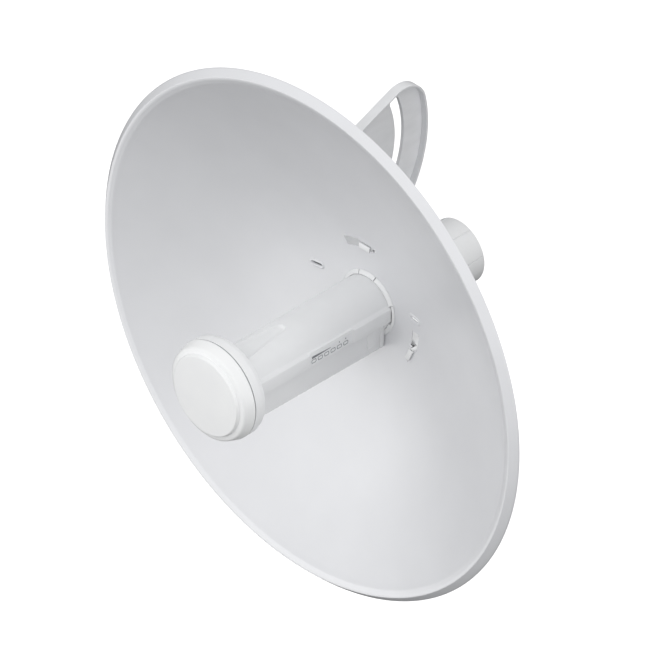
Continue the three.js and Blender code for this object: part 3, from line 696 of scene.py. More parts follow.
latch = Shape()
tongue = [(LATCH_FROM, 23.4, 0.2), (LATCH_TO, 23.4, 0.2), (LATCH_TO, 25.4, 0.5), (113, 25.5, 0.4),
          (111.5, 27.1, 0.4), (103.5, 27.1, 0.5), (102.5, 25.4, 0.4), (LATCH_FROM, 25.2, 0.4)]
side_view = prism(rounded(tongue, 3), -5, 5, "x", bevel=0.3)
latch.add(side_view, turned_about_y(LATCH_ANGLE))
for k in range(4):
    latch.add(block(-4.2, 4.2, 104.4 + 1.9 * k, 105.2 + 1.9 * k, 26.6, 27.2, 0.2),
              turned_about_y(LATCH_ANGLE))
fit(welded(latch, "feed_latch_tongue", 40), "latch", asa_white, "white_plastic", "feed_latch")


# ---------------------------------------------------------------- plate screws
# Four pan-head thread-forming screws of zinc plated steel, driven from inside the saddle to
# hold the elevation plate. Each has a cross recess.

# Bright zinc on steel, blue passivated: a slightly cool metal whose crystals show as patches
# a few millimetres across, with a roughness that changes between them.
zinc, tree, shader = paint("zinc_plated_steel", "#BFC3C9", 0.36, metallic=1.0)
zinc_place = mottle(tree, shader, "#B4B9C0", "#C6C9CE", 6)
spangle = node(tree, "ShaderNodeTexVoronoi", [("Vector", zinc_place)], Scale=1 / (4 * MM))
duller = node(tree, "ShaderNodeMapRange", [("Value", spangle.outputs["Distance"])],
              To_Min=0.3, To_Max=0.48)
tree.links.new(duller.outputs["Result"], shader.inputs["Roughness"])
grain(tree, shader, zinc_place, 0.8, 0.004)


def along_x(shape):
    """A shape drawn along y, laid along x instead."""
    shape.verts = [(y, -x, z) for x, y, z in shape.verts]
    return shape


def screw(head_radius, head_height, shank_radius, length, pitch=0.8):
    """A pan-head screw along y, its cross-recessed top facing -y, with plain ridges as thread."""
    made = Shape()
    rings = 8
    profile = [(head_radius * math.sin(math.radians(90 * k / rings)),
                head_height * 0.62 * (1 - math.cos(math.radians(90 * k / rings))))
               for k in range(1, rings + 1)]
    profile += [(head_radius, head_height), (shank_radius, head_height)]
    y = head_height
    while y + pitch < head_height + length - 1.2:
        profile += [(shank_radius, y + pitch * 0.45), (shank_radius * 1.16, y + pitch * 0.7),
                    (shank_radius, y + pitch * 0.95)]
        y += pitch
    profile += [(shank_radius * 0.9, head_height + length - 0.8), (0.05, head_height + length)]
    steps = 48
    rows = []
    for s in range(steps):
        t = 2 * math.pi * s / steps
        row = []
        for r, y in profile:
            arm = min(abs(r * math.sin(t)), abs(r * math.cos(t)))
            sunk = y < head_height * 0.5 and arm < head_radius * 0.14 and r < head_radius * 0.62
            row.append((r * math.sin(t), y + (head_height * 0.5 if sunk else 0), r * math.cos(t)))
        rows.append(row)
    made.grid(rows, close_rows=True, close_columns=False)
    made.verts += [(0, head_height * 0.5, 0), (0, head_height + length, 0)]
    tip, end, width = len(made.verts) - 2, len(made.verts) - 1, len(profile)
    for s in range(steps):
        here, after = s * width, ((s + 1) % steps) * width
        made.faces.append((tip, after, here))
        made.faces.append((end, here + width - 1, after + width - 1))
    return made


SCREW_HEAD, SCREW_HEIGHT, SCREW_SHANK, SCREW_LENGTH = 3.5, 2.2, 1.55, 4.2
for index, (y, z) in enumerate(screw_places):
    shape = Shape().add(along_x(screw(SCREW_HEAD, SCREW_HEIGHT, SCREW_SHANK, SCREW_LENGTH)),
                        Matrix.Rotation(math.pi, 4, "Z"))
    top = SADDLE_X + SADDLE_WALL + 0.3 + SCREW_HEIGHT
    shape.verts = [(top + px, y + py, z + pz) for px, py, pz in shape.verts]
    fit(welded(shape, f"plate_screw_{index + 1}_pan", 35), "bracket", zinc, "zinc_steel",
        f"plate_screw_{index + 1}")


# ---------------------------------------------------------------- feed tube
# The feed's upper shell, one ASA moulding: a half-round roof with a rail down each side, a
# tapered thumb flute near the cap, and at the rear a round tail that slides in the sleeve.

FEED_R, FEED_WALL = 22.7, 2.2
FEED_FRONT, FEED_SEAM, BLOCK_END, TAIL_END = -79.7, 57.0, 61.5, 140.0
FLUTE_TIP, FLUTE_NOSE, FLUTE_FLARE, FLUTE_LIFT, FLUTE_DEPTH = -28.0, 4.6, 0.135, 0.3, 0.62
RAIL_HALF, RAIL_INNER, RAIL_LOW, RAIL_TOP, RAIL_SHOULDER = 24.0, 19.0, -4.8, 6.2, 8.3
PANEL_FROM, PANEL_TO, PANEL_X, PANEL_TOP = -20.6, 24.0, 23.35, 7.4


def roof(x, y, radius, sunk=0.0):
    """The roof's height over x, dipped where the flute's round-nosed cone cuts it."""
    top = math.sqrt(max(radius ** 2 - x * x, 0))
    back = FLUTE_TIP - y
    if back < -FLUTE_NOSE:
        return top
    if back < 0:
        cone = math.sqrt(FLUTE_NOSE ** 2 - back ** 2)
    else:
        cone = FLUTE_NOSE + FLUTE_FLARE * back
    if abs(x) >= cone:
        return top
    floor = FEED_R + FLUTE_LIFT - FLUTE_DEPTH * math.sqrt(cone ** 2 - x * x) - sunk
    soft = 0.3
    share = min(max(0.5 + 0.5 * (floor - top) / soft, 0), 1)
    return floor + (top - floor) * share - soft * share * (1 - share)


def ramp_in(y, start, stop, run=1.4):
    """0 outside a stretch and 1 inside it, with eased ends."""
    t = min(max(min(y - start, stop - y) / run + 0.5, 0), 1)
    return t * t * (3 - 2 * t)


def shell_row(y):
    """The upper shell's section at y: right rail, roof, left rail, and the inside."""
    panel = ramp_in(y, PANEL_FROM, PANEL_TO)
    face = RAIL_HALF - (RAIL_HALF - PANEL_X) * panel
    top = RAIL_TOP + (PANEL_TOP - RAIL_TOP) * panel
    shoulder_x = math.sqrt(FEED_R ** 2 - RAIL_SHOULDER ** 2)
    soft = 0.45
    edge = [(RAIL_INNER, RAIL_LOW), (face - soft, RAIL_LOW),
            (face - soft * 0.3, RAIL_LOW + soft * 0.3), (face, RAIL_LOW + soft),
            (face, top - soft), (face - soft * 0.12, top - soft * 0.3),
            (face - soft * 0.5, top + soft * 0.35), (shoulder_x + soft * 0.9, RAIL_SHOULDER - soft),
            (shoulder_x + 0.1, RAIL_SHOULDER)]
    left = [(-shoulder_x - 0.1, RAIL_SHOULDER), (-shoulder_x - soft * 0.9, RAIL_SHOULDER - soft),
            (-RAIL_HALF + soft * 0.5, RAIL_TOP + soft * 0.35),
            (-RAIL_HALF + soft * 0.12, RAIL_TOP - soft * 0.3), (-RAIL_HALF, RAIL_TOP - soft),
            (-RAIL_HALF, RAIL_LOW + soft), (-RAIL_HALF + soft * 0.3, RAIL_LOW + soft * 0.3),
            (-RAIL_HALF + soft, RAIL_LOW), (-RAIL_INNER, RAIL_LOW)]
    start = math.degrees(math.asin(RAIL_SHOULDER / FEED_R))
    over = [(x, roof(x, y, FEED_R)) for x, _ in arc(0, 0, FEED_R, start + 1, 179 - start, 110)]
    inner = FEED_R - FEED_WALL
    spring = math.degrees(math.acos(RAIL_INNER / inner))
    under = [(x, roof(x, y, inner, FEED_WALL)) for x, _ in
             arc(0, 0, inner, 180 - spring, spring, 70)]
    return [(x, y, z) for x, z in edge + over + left + under]


FLUTE_END, FLUTE_ROWS = -20, 70
places = [FEED_FRONT + k * (FLUTE_END - FEED_FRONT) / FLUTE_ROWS for k in range(FLUTE_ROWS + 1)]
for edge_at in (PANEL_FROM, PANEL_TO):
    places += [edge_at + step for step in (-0.75, -0.5, -0.25, 0, 0.25, 0.5, 0.75)]
places += [-10, 0, 10, 35, 45, 54]
rows = [shell_row(y) for y in sorted(places) + [BLOCK_END]]
tube = Shape()
tube.grid(rows)
tube.cap([rows[0]], flip=True)
tube.cap([rows[-1]])
feed_tube = welded(tube, "feed_shell", 28)

COVER_TOP, COVER_BOTTOM, COVER_Z, COVER_EDGE, COVER_WALL = 18.4, 16.6, -31.0, -2.0, 1.8


def trough(inset, top):
    """The open section of the port cover, as an outline across x and z."""
    return rounded([(COVER_TOP - inset, top, 0),
                    (COVER_BOTTOM - inset, COVER_Z + inset, 2.6 - inset),
                    (-COVER_BOTTOM + inset, COVER_Z + inset, 2.6 - inset),
                    (-COVER_TOP + inset, top, 0)], 6)


end_wall = welded(prism(trough(0, -1.8), FEED_SEAM, BLOCK_END, bevel=0.5), "feed_end_wall")
TAIL_BORE, TAIL_WAIST, TAIL_SOCKET, GLAND_SEAT = 19.4, 21.4, 20.6, 132
cut(end_wall, welded(prism(circle(0, 0, TAIL_BORE, 64), FEED_SEAM - 2, BLOCK_END + 2), "bore"))

# The tail's waist clears the sleeve between two guide bands. Two bosses hold the board, and
# ribs stiffen the roof behind the flute.
BOARD_BOSSES = ((-48, 15.5), (46, 21.3))
ROOF_RIBS = (-20, -6, 8, 22, 36)
tail = lathe(rounded([
    (TAIL_BORE, 60, 0), (FEED_R, 60, 0), (FEED_R, 72, 0.5), (TAIL_WAIST, 73.2, 0.5),
    (TAIL_WAIST, 134, 0.5), (FEED_R, 135, 0.5), (FEED_R, TAIL_END, 1.0),
    (TAIL_SOCKET, TAIL_END, 0.3), (TAIL_SOCKET, GLAND_SEAT, 0.2),
    (TAIL_BORE, GLAND_SEAT, 0.2)], 4), 128)
for y, top in BOARD_BOSSES:
    tail.add(prism(circle(0, y, 3.4, 28), 0.3, top, "z", holes=[circle(0, y, 1.5, 20)], bevel=0.2))
for y in ROOF_RIBS:
    rib = arc(0, 0, FEED_R - 2.0, 20, 160, 30) + arc(0, 0, TAIL_BORE, 160, 20, 30)
    tail.add(prism(rib, y - 0.6, y + 0.6))


def one_mesh(name, *pieces):
    """Several finished meshes gathered into one object."""
    work = bmesh.new()
    for piece in pieces:
        work.from_mesh(piece.data)
        bpy.data.objects.remove(piece)
    mesh = bpy.data.meshes.new(name)
    work.to_mesh(mesh)
    work.free()
    shade(mesh, 30)
    return linked(name, mesh)


fit(one_mesh("feed_tube_moulding", feed_tube, end_wall, welded(tail, "feed_tail")),
    "feed", asa_white, "white_plastic", "feed_tube")


# ---------------------------------------------------------------- status window
# A clear acrylic bar set flush in the right-hand rail, with printed outlines over the signal
# lights: six plain rounded squares under a rising wedge, and two dots.

# Clear acrylic, polished in the mould, backed by white: pale, glossy and barely tinted.
acrylic, tree, shader = paint("clear_acrylic", "#EDEEF0", 0.2, ior=1.49)
acrylic_place = mottle(tree, shader, "#EBECEE", "#F0F1F2", 5)
grain(tree, shader, acrylic_place, 3.0, 0.002)

PANE_MARGIN, PANE_LOW, PANE_TOP = 1.6, -3.2, 5.4
pane = rounded([(PANEL_FROM + PANE_MARGIN, PANE_LOW, 1.0), (PANEL_TO - PANE_MARGIN, PANE_LOW, 1.0),
                (PANEL_TO - PANE_MARGIN, PANE_TOP, 1.0), (PANEL_FROM + PANE_MARGIN, PANE_TOP, 1.0)], 4)
window = prism(pane, 22.9, PANEL_X + 0.1, "x", bevel=0.08)
fit(welded(window, "status_window_pane", 30), "feed", acrylic, "clear_plastic", "led_window")

# Screen-printed grey ink: flat and dull, a little uneven where it lies thin.
ink, tree, shader = paint("printed_grey_ink", "#7C7F83", 0.6)
ink_place = mottle(tree, shader, "#74777B", "#84878B", 1.5)
grain(tree, shader, ink_place, 0.3, 0.003)


def grown(name, sockets, build, material):
    """Builds a Geometry Nodes tree with named inputs, and returns what it makes as a mesh."""
    tree = bpy.data.node_groups.new(name, "GeometryNodeTree")
    tree.interface.new_socket("Geometry", in_out="OUTPUT", socket_type="NodeSocketGeometry")
    kinds = {float: "NodeSocketFloat", int: "NodeSocketInt"}
    given = {label: tree.interface.new_socket(label, in_out="INPUT", socket_type=kinds[type(value)])
             for label, value in sockets.items()}
    inputs = node(tree, "NodeGroupInput")
    real = node(tree, "GeometryNodeRealizeInstances",
                [("Geometry", build(tree, inputs.outputs))])
    painted = node(tree, "GeometryNodeSetMaterial", [("Geometry", real.outputs[0])],
                   Material=material)
    node(tree, "NodeGroupOutput", [("Geometry", painted.outputs[0])])
    made = linked(name, bpy.data.meshes.new(name))
    step = made.modifiers.new("grown", "NODES")
    step.node_group = tree
    for label, value in sockets.items():
        step[given[label].identifier] = value
    result = settled(made)
    bpy.data.objects.remove(made)
    return result


def placed(mesh, move, name, sharp=32):
    """A grown mesh, in metres, moved to its place (given in mm about the rim's centre)."""
    mesh.transform(Matrix.Translation(RIM + move.to_translation() * MM)
                   @ move.to_3x3().to_4x4())
    shade(mesh, sharp)
    return linked(name, mesh)


def square_row(tree, given):
    """A row along x of square outlines, drawn as thin raised bars with rounded corners."""
    square = node(tree, "GeometryNodeCurvePrimitiveQuadrilateral",
                  [("Width", given["Width"]), ("Height", given["Height"])])
    soft = node(tree, "GeometryNodeFilletCurve",
                [("Curve", square.outputs["Curve"]), ("Radius", given["Corner"])],
                mode="POLY", Count=4)
    line = node(tree, "GeometryNodeCurvePrimitiveQuadrilateral",
                [("Width", given["Line"]), ("Height", given["Thickness"])])
    bar = node(tree, "GeometryNodeCurveToMesh",
               [("Curve", soft.outputs["Curve"]), ("Profile Curve", line.outputs["Curve"])])
    along = node(tree, "ShaderNodeCombineXYZ", [("X", given["Pitch"])])
    points = node(tree, "GeometryNodeMeshLine",
                  [("Count", given["Count"]), ("Offset", along.outputs["Vector"])])
    row = node(tree, "GeometryNodeInstanceOnPoints",
               [("Points", points.outputs["Mesh"]), ("Instance", bar.outputs["Mesh"])])
    return row.outputs["Instances"]


SQUARE_PITCH, SQUARE_FIRST = 6.45, -16.2
squares = grown("status_squares", {
    "Width": 4.3 * MM, "Height": 2.7 * MM, "Corner": 0.7 * MM, "Line": 0.5 * MM,
    "Thickness": 0.12 * MM, "Pitch": SQUARE_PITCH * MM, "Count": 6}, square_row, ink)
onto_rail = Matrix(((0, 0, 1, PANEL_X + 0.12), (1, 0, 0, SQUARE_FIRST), (0, 1, 0, -0.6),
                    (0, 0, 0, 1)))
fit(placed(squares, onto_rail, "status_squares_print"), "feed", ink, "grey_plastic")

INK_RAISED = 0.16
rising = rounded([(-18.2, 1.7, 0.3), (-18.2, 4.0, 0.5), (0.8, 3.0, 0.1), (0.8, 2.6, 0.1)], 3)
wedge = prism(rising, PANEL_X, PANEL_X + INK_RAISED, "x")
for k in (4, 5):
    dot = circle(SQUARE_FIRST + SQUARE_PITCH * k, 3.2, 0.55, 20)
    wedge.add(prism(dot, PANEL_X, PANEL_X + INK_RAISED, "x"))
fit(welded(wedge, "signal_wedge_print"), "feed", ink, "grey_plastic")

# The light guide behind the window is a plain clear bar that lies over the board's lights.
guide = block(15.5, 22.5, -13.6, 13.6, 0.4, 1.9, 0.3, "x")
fit(welded(guide, "light_guide_bar", 30), "feed", acrylic, "clear_plastic", "light_guide")


# ---------------------------------------------------------------- port cover
# The trough that closes the underside, in ASA: it drops off straight down to reach the socket.
# Pads inside its walls locate it, and each long side has an upright finger rib at the rear.

COVER_PADS, PAD_OUT = (-50, -20, 10, 40), 1.2
section = trough(0, COVER_EDGE) + trough(COVER_WALL, COVER_EDGE)[::-1]
cover = prism(section, FEED_FRONT, FEED_SEAM - 0.3, bevel=0.35)
for y in COVER_PADS:
    for side in (-1, 1):
        wall = (COVER_TOP - COVER_WALL) * side
        near, far = sorted((wall, wall - PAD_OUT * side))
        cover.add(block(near, far, y - 4, y + 4, -9, -2.2, 0.3))
for side in (-1, 1):
    grip = block(-0.35, 0.35, 44, 53.5, -24, -10, 0.3, "x")
    cover.add(grip, Matrix.Translation((side * 17.5, 0, 0)))
fit(welded(cover, "port_cover_trough", 32), "cover", asa_white, "white_plastic", "port_cover")


# ---------------------------------------------------------------- tail gland
# A ring of soft EPDM, moulded with two raised lips and pushed into the tail's end. The network
# cable passes its throat.

# Moulded rubber: near black, dull, with a faint bloom of paler patches.
rubber, tree, shader = paint("moulded_epdm_rubber", "#2A2B2D", 0.72)
rubber_place = mottle(tree, shader, "#252628", "#323335", 4)
grain(tree, shader, rubber_place, 0.4, 0.012)

THROAT, GLAND_OUT, GLAND_FROM, GLAND_TO = 8.3, 20.2, 132.5, 139
gland = lathe(rounded([(THROAT, GLAND_FROM, 0.4), (GLAND_OUT, GLAND_FROM, 0.4),
                       (GLAND_OUT, GLAND_TO, 0.8), (17, GLAND_TO, 0.4), (14.5, 137.4, 0.8),
                       (11.5, 138.6, 0.8), (9.4, 137.8, 0.5), (THROAT, 136.5, 0.5)], 5), 96)
fit(welded(gland, "tail_gland_ring", 40), "feed", rubber, "rubber", "tail_gland")


# ---------------------------------------------------------------- radio board
# The radio itself: a green laminate screwed up to two bosses, with small chips spread under it,
# a tinned screening can, the network socket and the reset switch.

BOARD_HALF, BOARD_FROM, BOARD_TO, BOARD_TOP, BOARD_THICK = 18.2, -55.0, 50.0, 0.0, 1.5

# Solder mask over copper: deep green, glossy, with the traces under it showing as fine
# lighter lanes about 1 mm apart.
solder_mask, tree, shader = paint("green_solder_mask", "#1F5D3A", 0.28)
mask_place = mottle(tree, shader, "#1A5233", "#236842", 12)
lanes = node(tree, "ShaderNodeTexBrick", [("Vector", mask_place)], Scale=1 / (4 * MM),
             Mortar_Size=0.06, Color1=srgb("#1D5636"), Color2=srgb("#215F3C"),
             Mortar=srgb("#347B50"))
tree.links.new(lanes.outputs["Color"], shader.inputs["Base Color"])
grain(tree, shader, mask_place, 1.0, 0.01)

board_outline = rounded([(-BOARD_HALF, BOARD_FROM, 1.5), (BOARD_HALF, BOARD_FROM, 1.5),
                         (BOARD_HALF, BOARD_TO, 1.5), (-BOARD_HALF, BOARD_TO, 1.5)], 4)
board_holes = [circle(0, y, 1.6, 24) for y, _ in BOARD_BOSSES]
laminate = prism(board_outline, BOARD_TOP - BOARD_THICK, BOARD_TOP, "z", board_holes, 0.12)
fit(welded(laminate, "radio_board_laminate", 30), "feed", solder_mask, "board_laminate",
    "circuit_board")

# Moulded epoxy, the black of chip packages: matt, finely grained.
epoxy, tree, shader = paint("moulded_black_epoxy", "#26272A", 0.55)
epoxy_place = mottle(tree, shader, "#232427", "#2B2C2F", 2)
grain(tree, shader, epoxy_place, 0.25, 0.006)


def chip_scatter(tree, given):
    """Small chips spread over a strip of the board, each sized by chance."""
    wide = node(tree, "ShaderNodeCombineXYZ",
                [("X", given["Chip"]), ("Y", given["Chip"]), ("Z", given["Height"])])
    chip = node(tree, "GeometryNodeMeshCube", [("Size", wide.outputs["Vector"])])
    strip = node(tree, "GeometryNodeMeshGrid",
                 [("Size X", given["Strip Width"]), ("Size Y", given["Strip Length"])],
                 Vertices_X=2, Vertices_Y=2)
    spots = node(tree, "GeometryNodeDistributePointsOnFaces",
                 [("Mesh", strip.outputs["Mesh"]), ("Distance Min", given["Spacing"]),
                  ("Density Max", given["Density"]), ("Seed", given["Seed"])],
                 distribute_method="POISSON")
    size = node(tree, "FunctionNodeRandomValue", [("Seed", given["Seed"])],
                data_type="FLOAT_VECTOR")
    size.inputs[0].default_value = (0.35, 0.35, 0.6)
    size.inputs[1].default_value = (1.0, 0.8, 1.2)
    row = node(tree, "GeometryNodeInstanceOnPoints",
               [("Points", spots.outputs["Points"]), ("Instance", chip.outputs["Mesh"]),
                ("Scale", size.outputs[0])])
    return row.outputs["Instances"]


chips = grown("board_chips", {"Chip": 2.6 * MM, "Height": 0.9 * MM, "Strip Width": 30 * MM,
                              "Strip Length": 46 * MM, "Spacing": 3.4 * MM, "Density": 200000.0,
                              "Seed": 7}, chip_scatter, epoxy)
under_board = Matrix.Translation((0, -18, BOARD_TOP - BOARD_THICK - 0.35))
fit(placed(chips, under_board, "board_chip_packages", 30), "feed", epoxy, "grey_plastic")

# Tinned steel, stamped and folded: bright and a little grey, with faint rolling lines 1 mm apart.
tinned, tree, shader = paint("tin_plated_steel", "#C9CBD0", 0.24, metallic=1.0)
tin_place = mottle(tree, shader, "#C2C4C9", "#D0D2D6", 3, stretch=(1, 0.2, 1))
grain(tree, shader, tin_place, 1.0, 0.004)


# The screening can is a folded lid, open below, with rows of round vents in its roof.
CAN_HALF, CAN_FROM, CAN_TO, CAN_LOW, CAN_TOP, CAN_WALL, CAN_CORNER = 13, -40, -2, 0.3, 6.3, 0.8, 1.4


def can_line(inset):
    """The lid's outline from above, or its inside when inset by the wall."""
    half, near, far = CAN_HALF - inset, CAN_FROM + inset, CAN_TO - inset
    radius = CAN_CORNER - inset
    return rounded([(-half, near, radius), (half, near, radius),
                    (half, far, radius), (-half, far, radius)], 4)


vents = [circle(x, y, 0.7, 12) for x in range(-8, 9, 4) for y in range(-34, -7, 4)]
can = prism(can_line(0), CAN_LOW, CAN_TOP - CAN_WALL * 0.5, "z", holes=[can_line(CAN_WALL)])
can.add(prism(can_line(0), CAN_TOP - CAN_WALL, CAN_TOP, "z", holes=vents, bevel=0.15))
fit(welded(can, "screening_can_lid", 30), "feed", tinned, "tinned_steel", "rf_shield")

JACK_HALF, JACK_TOP, JACK_LOW, JACK_FROM, JACK_TO, JACK_DEEP = 8, -1.8, -17.2, 14.0, 36.0, 14
mouth = [(-6, JACK_LOW + 2.4), (-3.2, JACK_LOW + 2.4), (-3.2, JACK_LOW + 1), (3.2, JACK_LOW + 1),
         (3.2, JACK_LOW + 2.4), (6, JACK_LOW + 2.4), (6, JACK_TOP - 4.4), (-6, JACK_TOP - 4.4)]
jack_line = rounded([(-JACK_HALF, JACK_LOW, 0.6), (JACK_HALF, JACK_LOW, 0.6),
                     (JACK_HALF, JACK_TOP, 0.6), (-JACK_HALF, JACK_TOP, 0.6)], 3)
jack = prism(jack_line, JACK_TO - JACK_DEEP, JACK_TO, holes=[mouth], bevel=0.2)
jack.add(prism(jack_line, JACK_FROM, JACK_TO - JACK_DEEP + 0.1, bevel=0.2))
for wall in (-JACK_HALF, JACK_HALF):
    jack.add(block(wall - 0.15, wall + 0.15, 24, 31, -12, -7, 0.1))
fit(welded(jack, "network_socket_shell", 30), "feed", tinned, "tinned_steel", "network_jack")

# Phosphor bronze flashed with gold: the socket's eight spring contacts.
gold, tree, shader = paint("gold_flashed_bronze", "#D9B25E", 0.22, metallic=1.0)
gold_place = mottle(tree, shader, "#D2A950", "#DFBC6C", 1.5)
grain(tree, shader, gold_place, 0.5, 0.002)


def contact_row(tree, given):
    """Slanted spring wires side by side, one for each of the socket's ways."""
    wire = node(tree, "GeometryNodeMeshCylinder",
                [("Radius", given["Wire"]), ("Depth", given["Length"])], Vertices=10)
    along = node(tree, "ShaderNodeCombineXYZ", [("X", given["Pitch"])])
    line = node(tree, "GeometryNodeMeshLine",
                [("Count", given["Count"]), ("Offset", along.outputs["Vector"])])
    row = node(tree, "GeometryNodeInstanceOnPoints",
               [("Points", line.outputs["Mesh"]), ("Instance", wire.outputs["Mesh"])],
               Rotation=(math.radians(68), 0, 0))
    return row.outputs["Instances"]


contacts = grown("socket_contacts", {"Wire": 0.22 * MM, "Length": 9.0 * MM, "Pitch": 1.02 * MM,
                                     "Count": 8}, contact_row, gold)
in_socket = Matrix.Translation((-3.57, JACK_TO - 8.2, JACK_TOP - 7.0))
fit(placed(contacts, in_socket, "socket_spring_contacts"), "feed", gold, "tinned_steel")

# Grey nylon, moulded with a dull fine grain: the reset switch's housing. The small black button
# in it is pressed with a pin.
grey_nylon, tree, shader = paint("moulded_grey_nylon", "#8B8E92", 0.5)
switch_place = mottle(tree, shader, "#84878B", "#929599", 2)
grain(tree, shader, switch_place, 0.3, 0.006)

RESET_X, RESET_Y, RESET_LOW = 12.5, 6.0, -5.0
switch_line = rounded([(RESET_X + u * 3, RESET_Y + v * 3, 0.5) for u, v in SQUARE], 3)
switch = prism(switch_line, RESET_LOW, RESET_LOW + 1.7, "z",
               holes=[circle(RESET_X, RESET_Y, 1.8, 28)], bevel=0.2)
switch.add(prism(switch_line, RESET_LOW + 1.6, -1.8, "z", bevel=0.2))
fit(welded(switch, "reset_switch_housing", 30), "feed", grey_nylon, "grey_plastic", "reset_switch")
button = prism(circle(RESET_X, RESET_Y, 1.5, 28), -7.7, -4.3, "z", bevel=0.35)
fit(welded(button, "reset_button_pin", 30), "reset", rubber, "rubber", "reset_button")

BOARD_SCREW_HEAD, BOARD_SCREW_SHANK, BOARD_SCREW_LENGTH = 2.8, 1.05, 5.6
for place, (y, _) in zip(("front", "rear"), BOARD_BOSSES):
    shape = screw(BOARD_SCREW_HEAD, SCREW_HEIGHT, BOARD_SCREW_SHANK, BOARD_SCREW_LENGTH)
    shape.verts = [(px, -pz + y, py - 4.0) for px, py, pz in shape.verts]
    fit(welded(shape, f"board_screw_{place}_pan", 35), "feed", zinc, "zinc_steel",
        f"board_screw_{place}")


# ---------------------------------------------------------------- cap, ring and feed optics
# The cap and its ring are thin ASA mouldings snapped together over a rubber seal. Inside them
# sit the turned aluminium horn and the small reflector that it feeds.

RING_IN, RING_OUT, RING_FRONT, RING_BACK, RING_WALL, FLOOR_IN = 37.4, 39.4, -90.5, -80, 2, 14
ring_profile = rounded([(RING_IN, RING_FRONT, 0.2), (RING_OUT, RING_FRONT, 0.2),
                        (RING_OUT - 0.05, RING_BACK - 4, 3.0), (38.2, RING_BACK, 1.2),
                        (FLOOR_IN, RING_BACK, 0.4), (FLOOR_IN, RING_BACK - RING_WALL, 0.3),
                        (35.9, RING_BACK - RING_WALL, 0.8), (RING_IN, RING_BACK - 4.5, 0.5)], 6)
fit(welded(lathe(ring_profile, 200), "cap_ring_moulding", 26), "feed", asa_white, "white_plastic",
    "cap_ring")

SEAL_IN, SEAL_OUT, SEAL_FRONT, SEAL_BACK = 34.6, 36.4, -92.2, -89.8
seal_profile = rounded([(SEAL_IN, SEAL_FRONT, 0.6), (SEAL_OUT, SEAL_FRONT, 0.6),
                        (SEAL_OUT, SEAL_BACK, 0.6), (SEAL_IN, SEAL_BACK, 0.6)], 5)
fit(welded(lathe(seal_profile, 160), "cap_seal_cord", 60), "feed", rubber, "rubber", "cap_seal")

# Spun and turned aluminium: fine concentric tool lines 0.8 mm apart, softly bright.
TOOL_LINE = 0.8
turned_aluminium, tree, shader = paint("turned_aluminium", "#C4C7CB", 0.3, metallic=1.0)
metal_place = mottle(tree, shader, "#BCC0C5", "#CBCED2", 8)
axis_place = node(tree, "ShaderNodeMapping", [("Vector", metal_place)],
                  Location=(-RIM.x, 0, -RIM.z))
tool_lines = node(tree, "ShaderNodeTexWave", [("Vector", axis_place.outputs["Vector"])],
                  wave_type="RINGS", rings_direction="Y", Scale=1 / (TOOL_LINE * MM) / 20,
                  Distortion=0.2)
line_bump = node(tree, "ShaderNodeBump", [("Height", tool_lines.outputs["Fac"])],
                 Strength=1.0, Distance=0.004 * MM)
tree.links.new(line_bump.outputs["Normal"], shader.inputs["Normal"])

SPLASH_R = 28.6
splash = rounded([(0.02, -98, 0), (SPLASH_R - 1, -97.6, 0.3), (SPLASH_R, -97, 0.3),
                  (SPLASH_R, -96.2, 0.3), (20, -95.4, 3), (6, -95, 1.5), (0.02, -94.6, 0)], 5)
fit(welded(lathe(splash, 128), "subreflector_disc", 30), "feed", turned_aluminium, "aluminium",
    "subreflector")
HORN_IN, HORN_OUT, HORN_MOUTH, HORN_FLOOR, HORN_BACK = 11.5, 13, -92.5, -60, -58
horn = rounded([(0.02, HORN_FLOOR, 0), (HORN_IN, HORN_FLOOR, 0.6), (HORN_IN, HORN_MOUTH, 0.2),
                (HORN_OUT, HORN_MOUTH, 0.3), (HORN_OUT, HORN_BACK, 0.6), (0.02, HORN_BACK, 0)], 4)
fit(welded(lathe(horn, 96), "feed_horn_cup", 30), "feed", turned_aluminium, "aluminium",
    "feed_horn")

# The cap is moulded in the brightest white on the unit, with the same fine matt as the rest.
cap_white, tree, shader = paint("moulded_radome_white", "#EFF0F1", 0.42)
cap_place = mottle(tree, shader, "#EDEEEF", "#F1F2F2", 26)
grain(tree, shader, cap_place, 0.5, 0.003, "voronoi")

FACE_Y, FACE_R, SHOULDER_R, EDGE_R, EDGE_Y = -103.5, 32.0, 36.9, 39.5, -91.5
cap_profile = rounded([
    (0.02, FACE_Y, 0), (FACE_R, FACE_Y, 1.1), (FACE_R + 0.5, FACE_Y + 3.0, 1.0),
    (SHOULDER_R, FACE_Y + 3.4, 2.2), (EDGE_R, EDGE_Y, 0.2), (EDGE_R - 2.1, EDGE_Y, 0.2),
    (SHOULDER_R - 2, FACE_Y + 5.1, 1.0), (FACE_R - 2, FACE_Y + 4.9, 0.6),
    (FACE_R - 2, FACE_Y + 2, 0.6), (0.02, FACE_Y + 2, 0)], 8)
fit(welded(lathe(cap_profile, 224), "radome_cap_moulding", 26), "feed", cap_white, "white_plastic",
    "radome_cap")


# ---------------------------------------------------------------- pole bracket and clamp jaw
# Two pressings of 3 mm steel, zinc plated. The bracket's side plate reaches up to the pivot and
# the lock bolt; its toothed vees and the jaw's grip the pole between them.

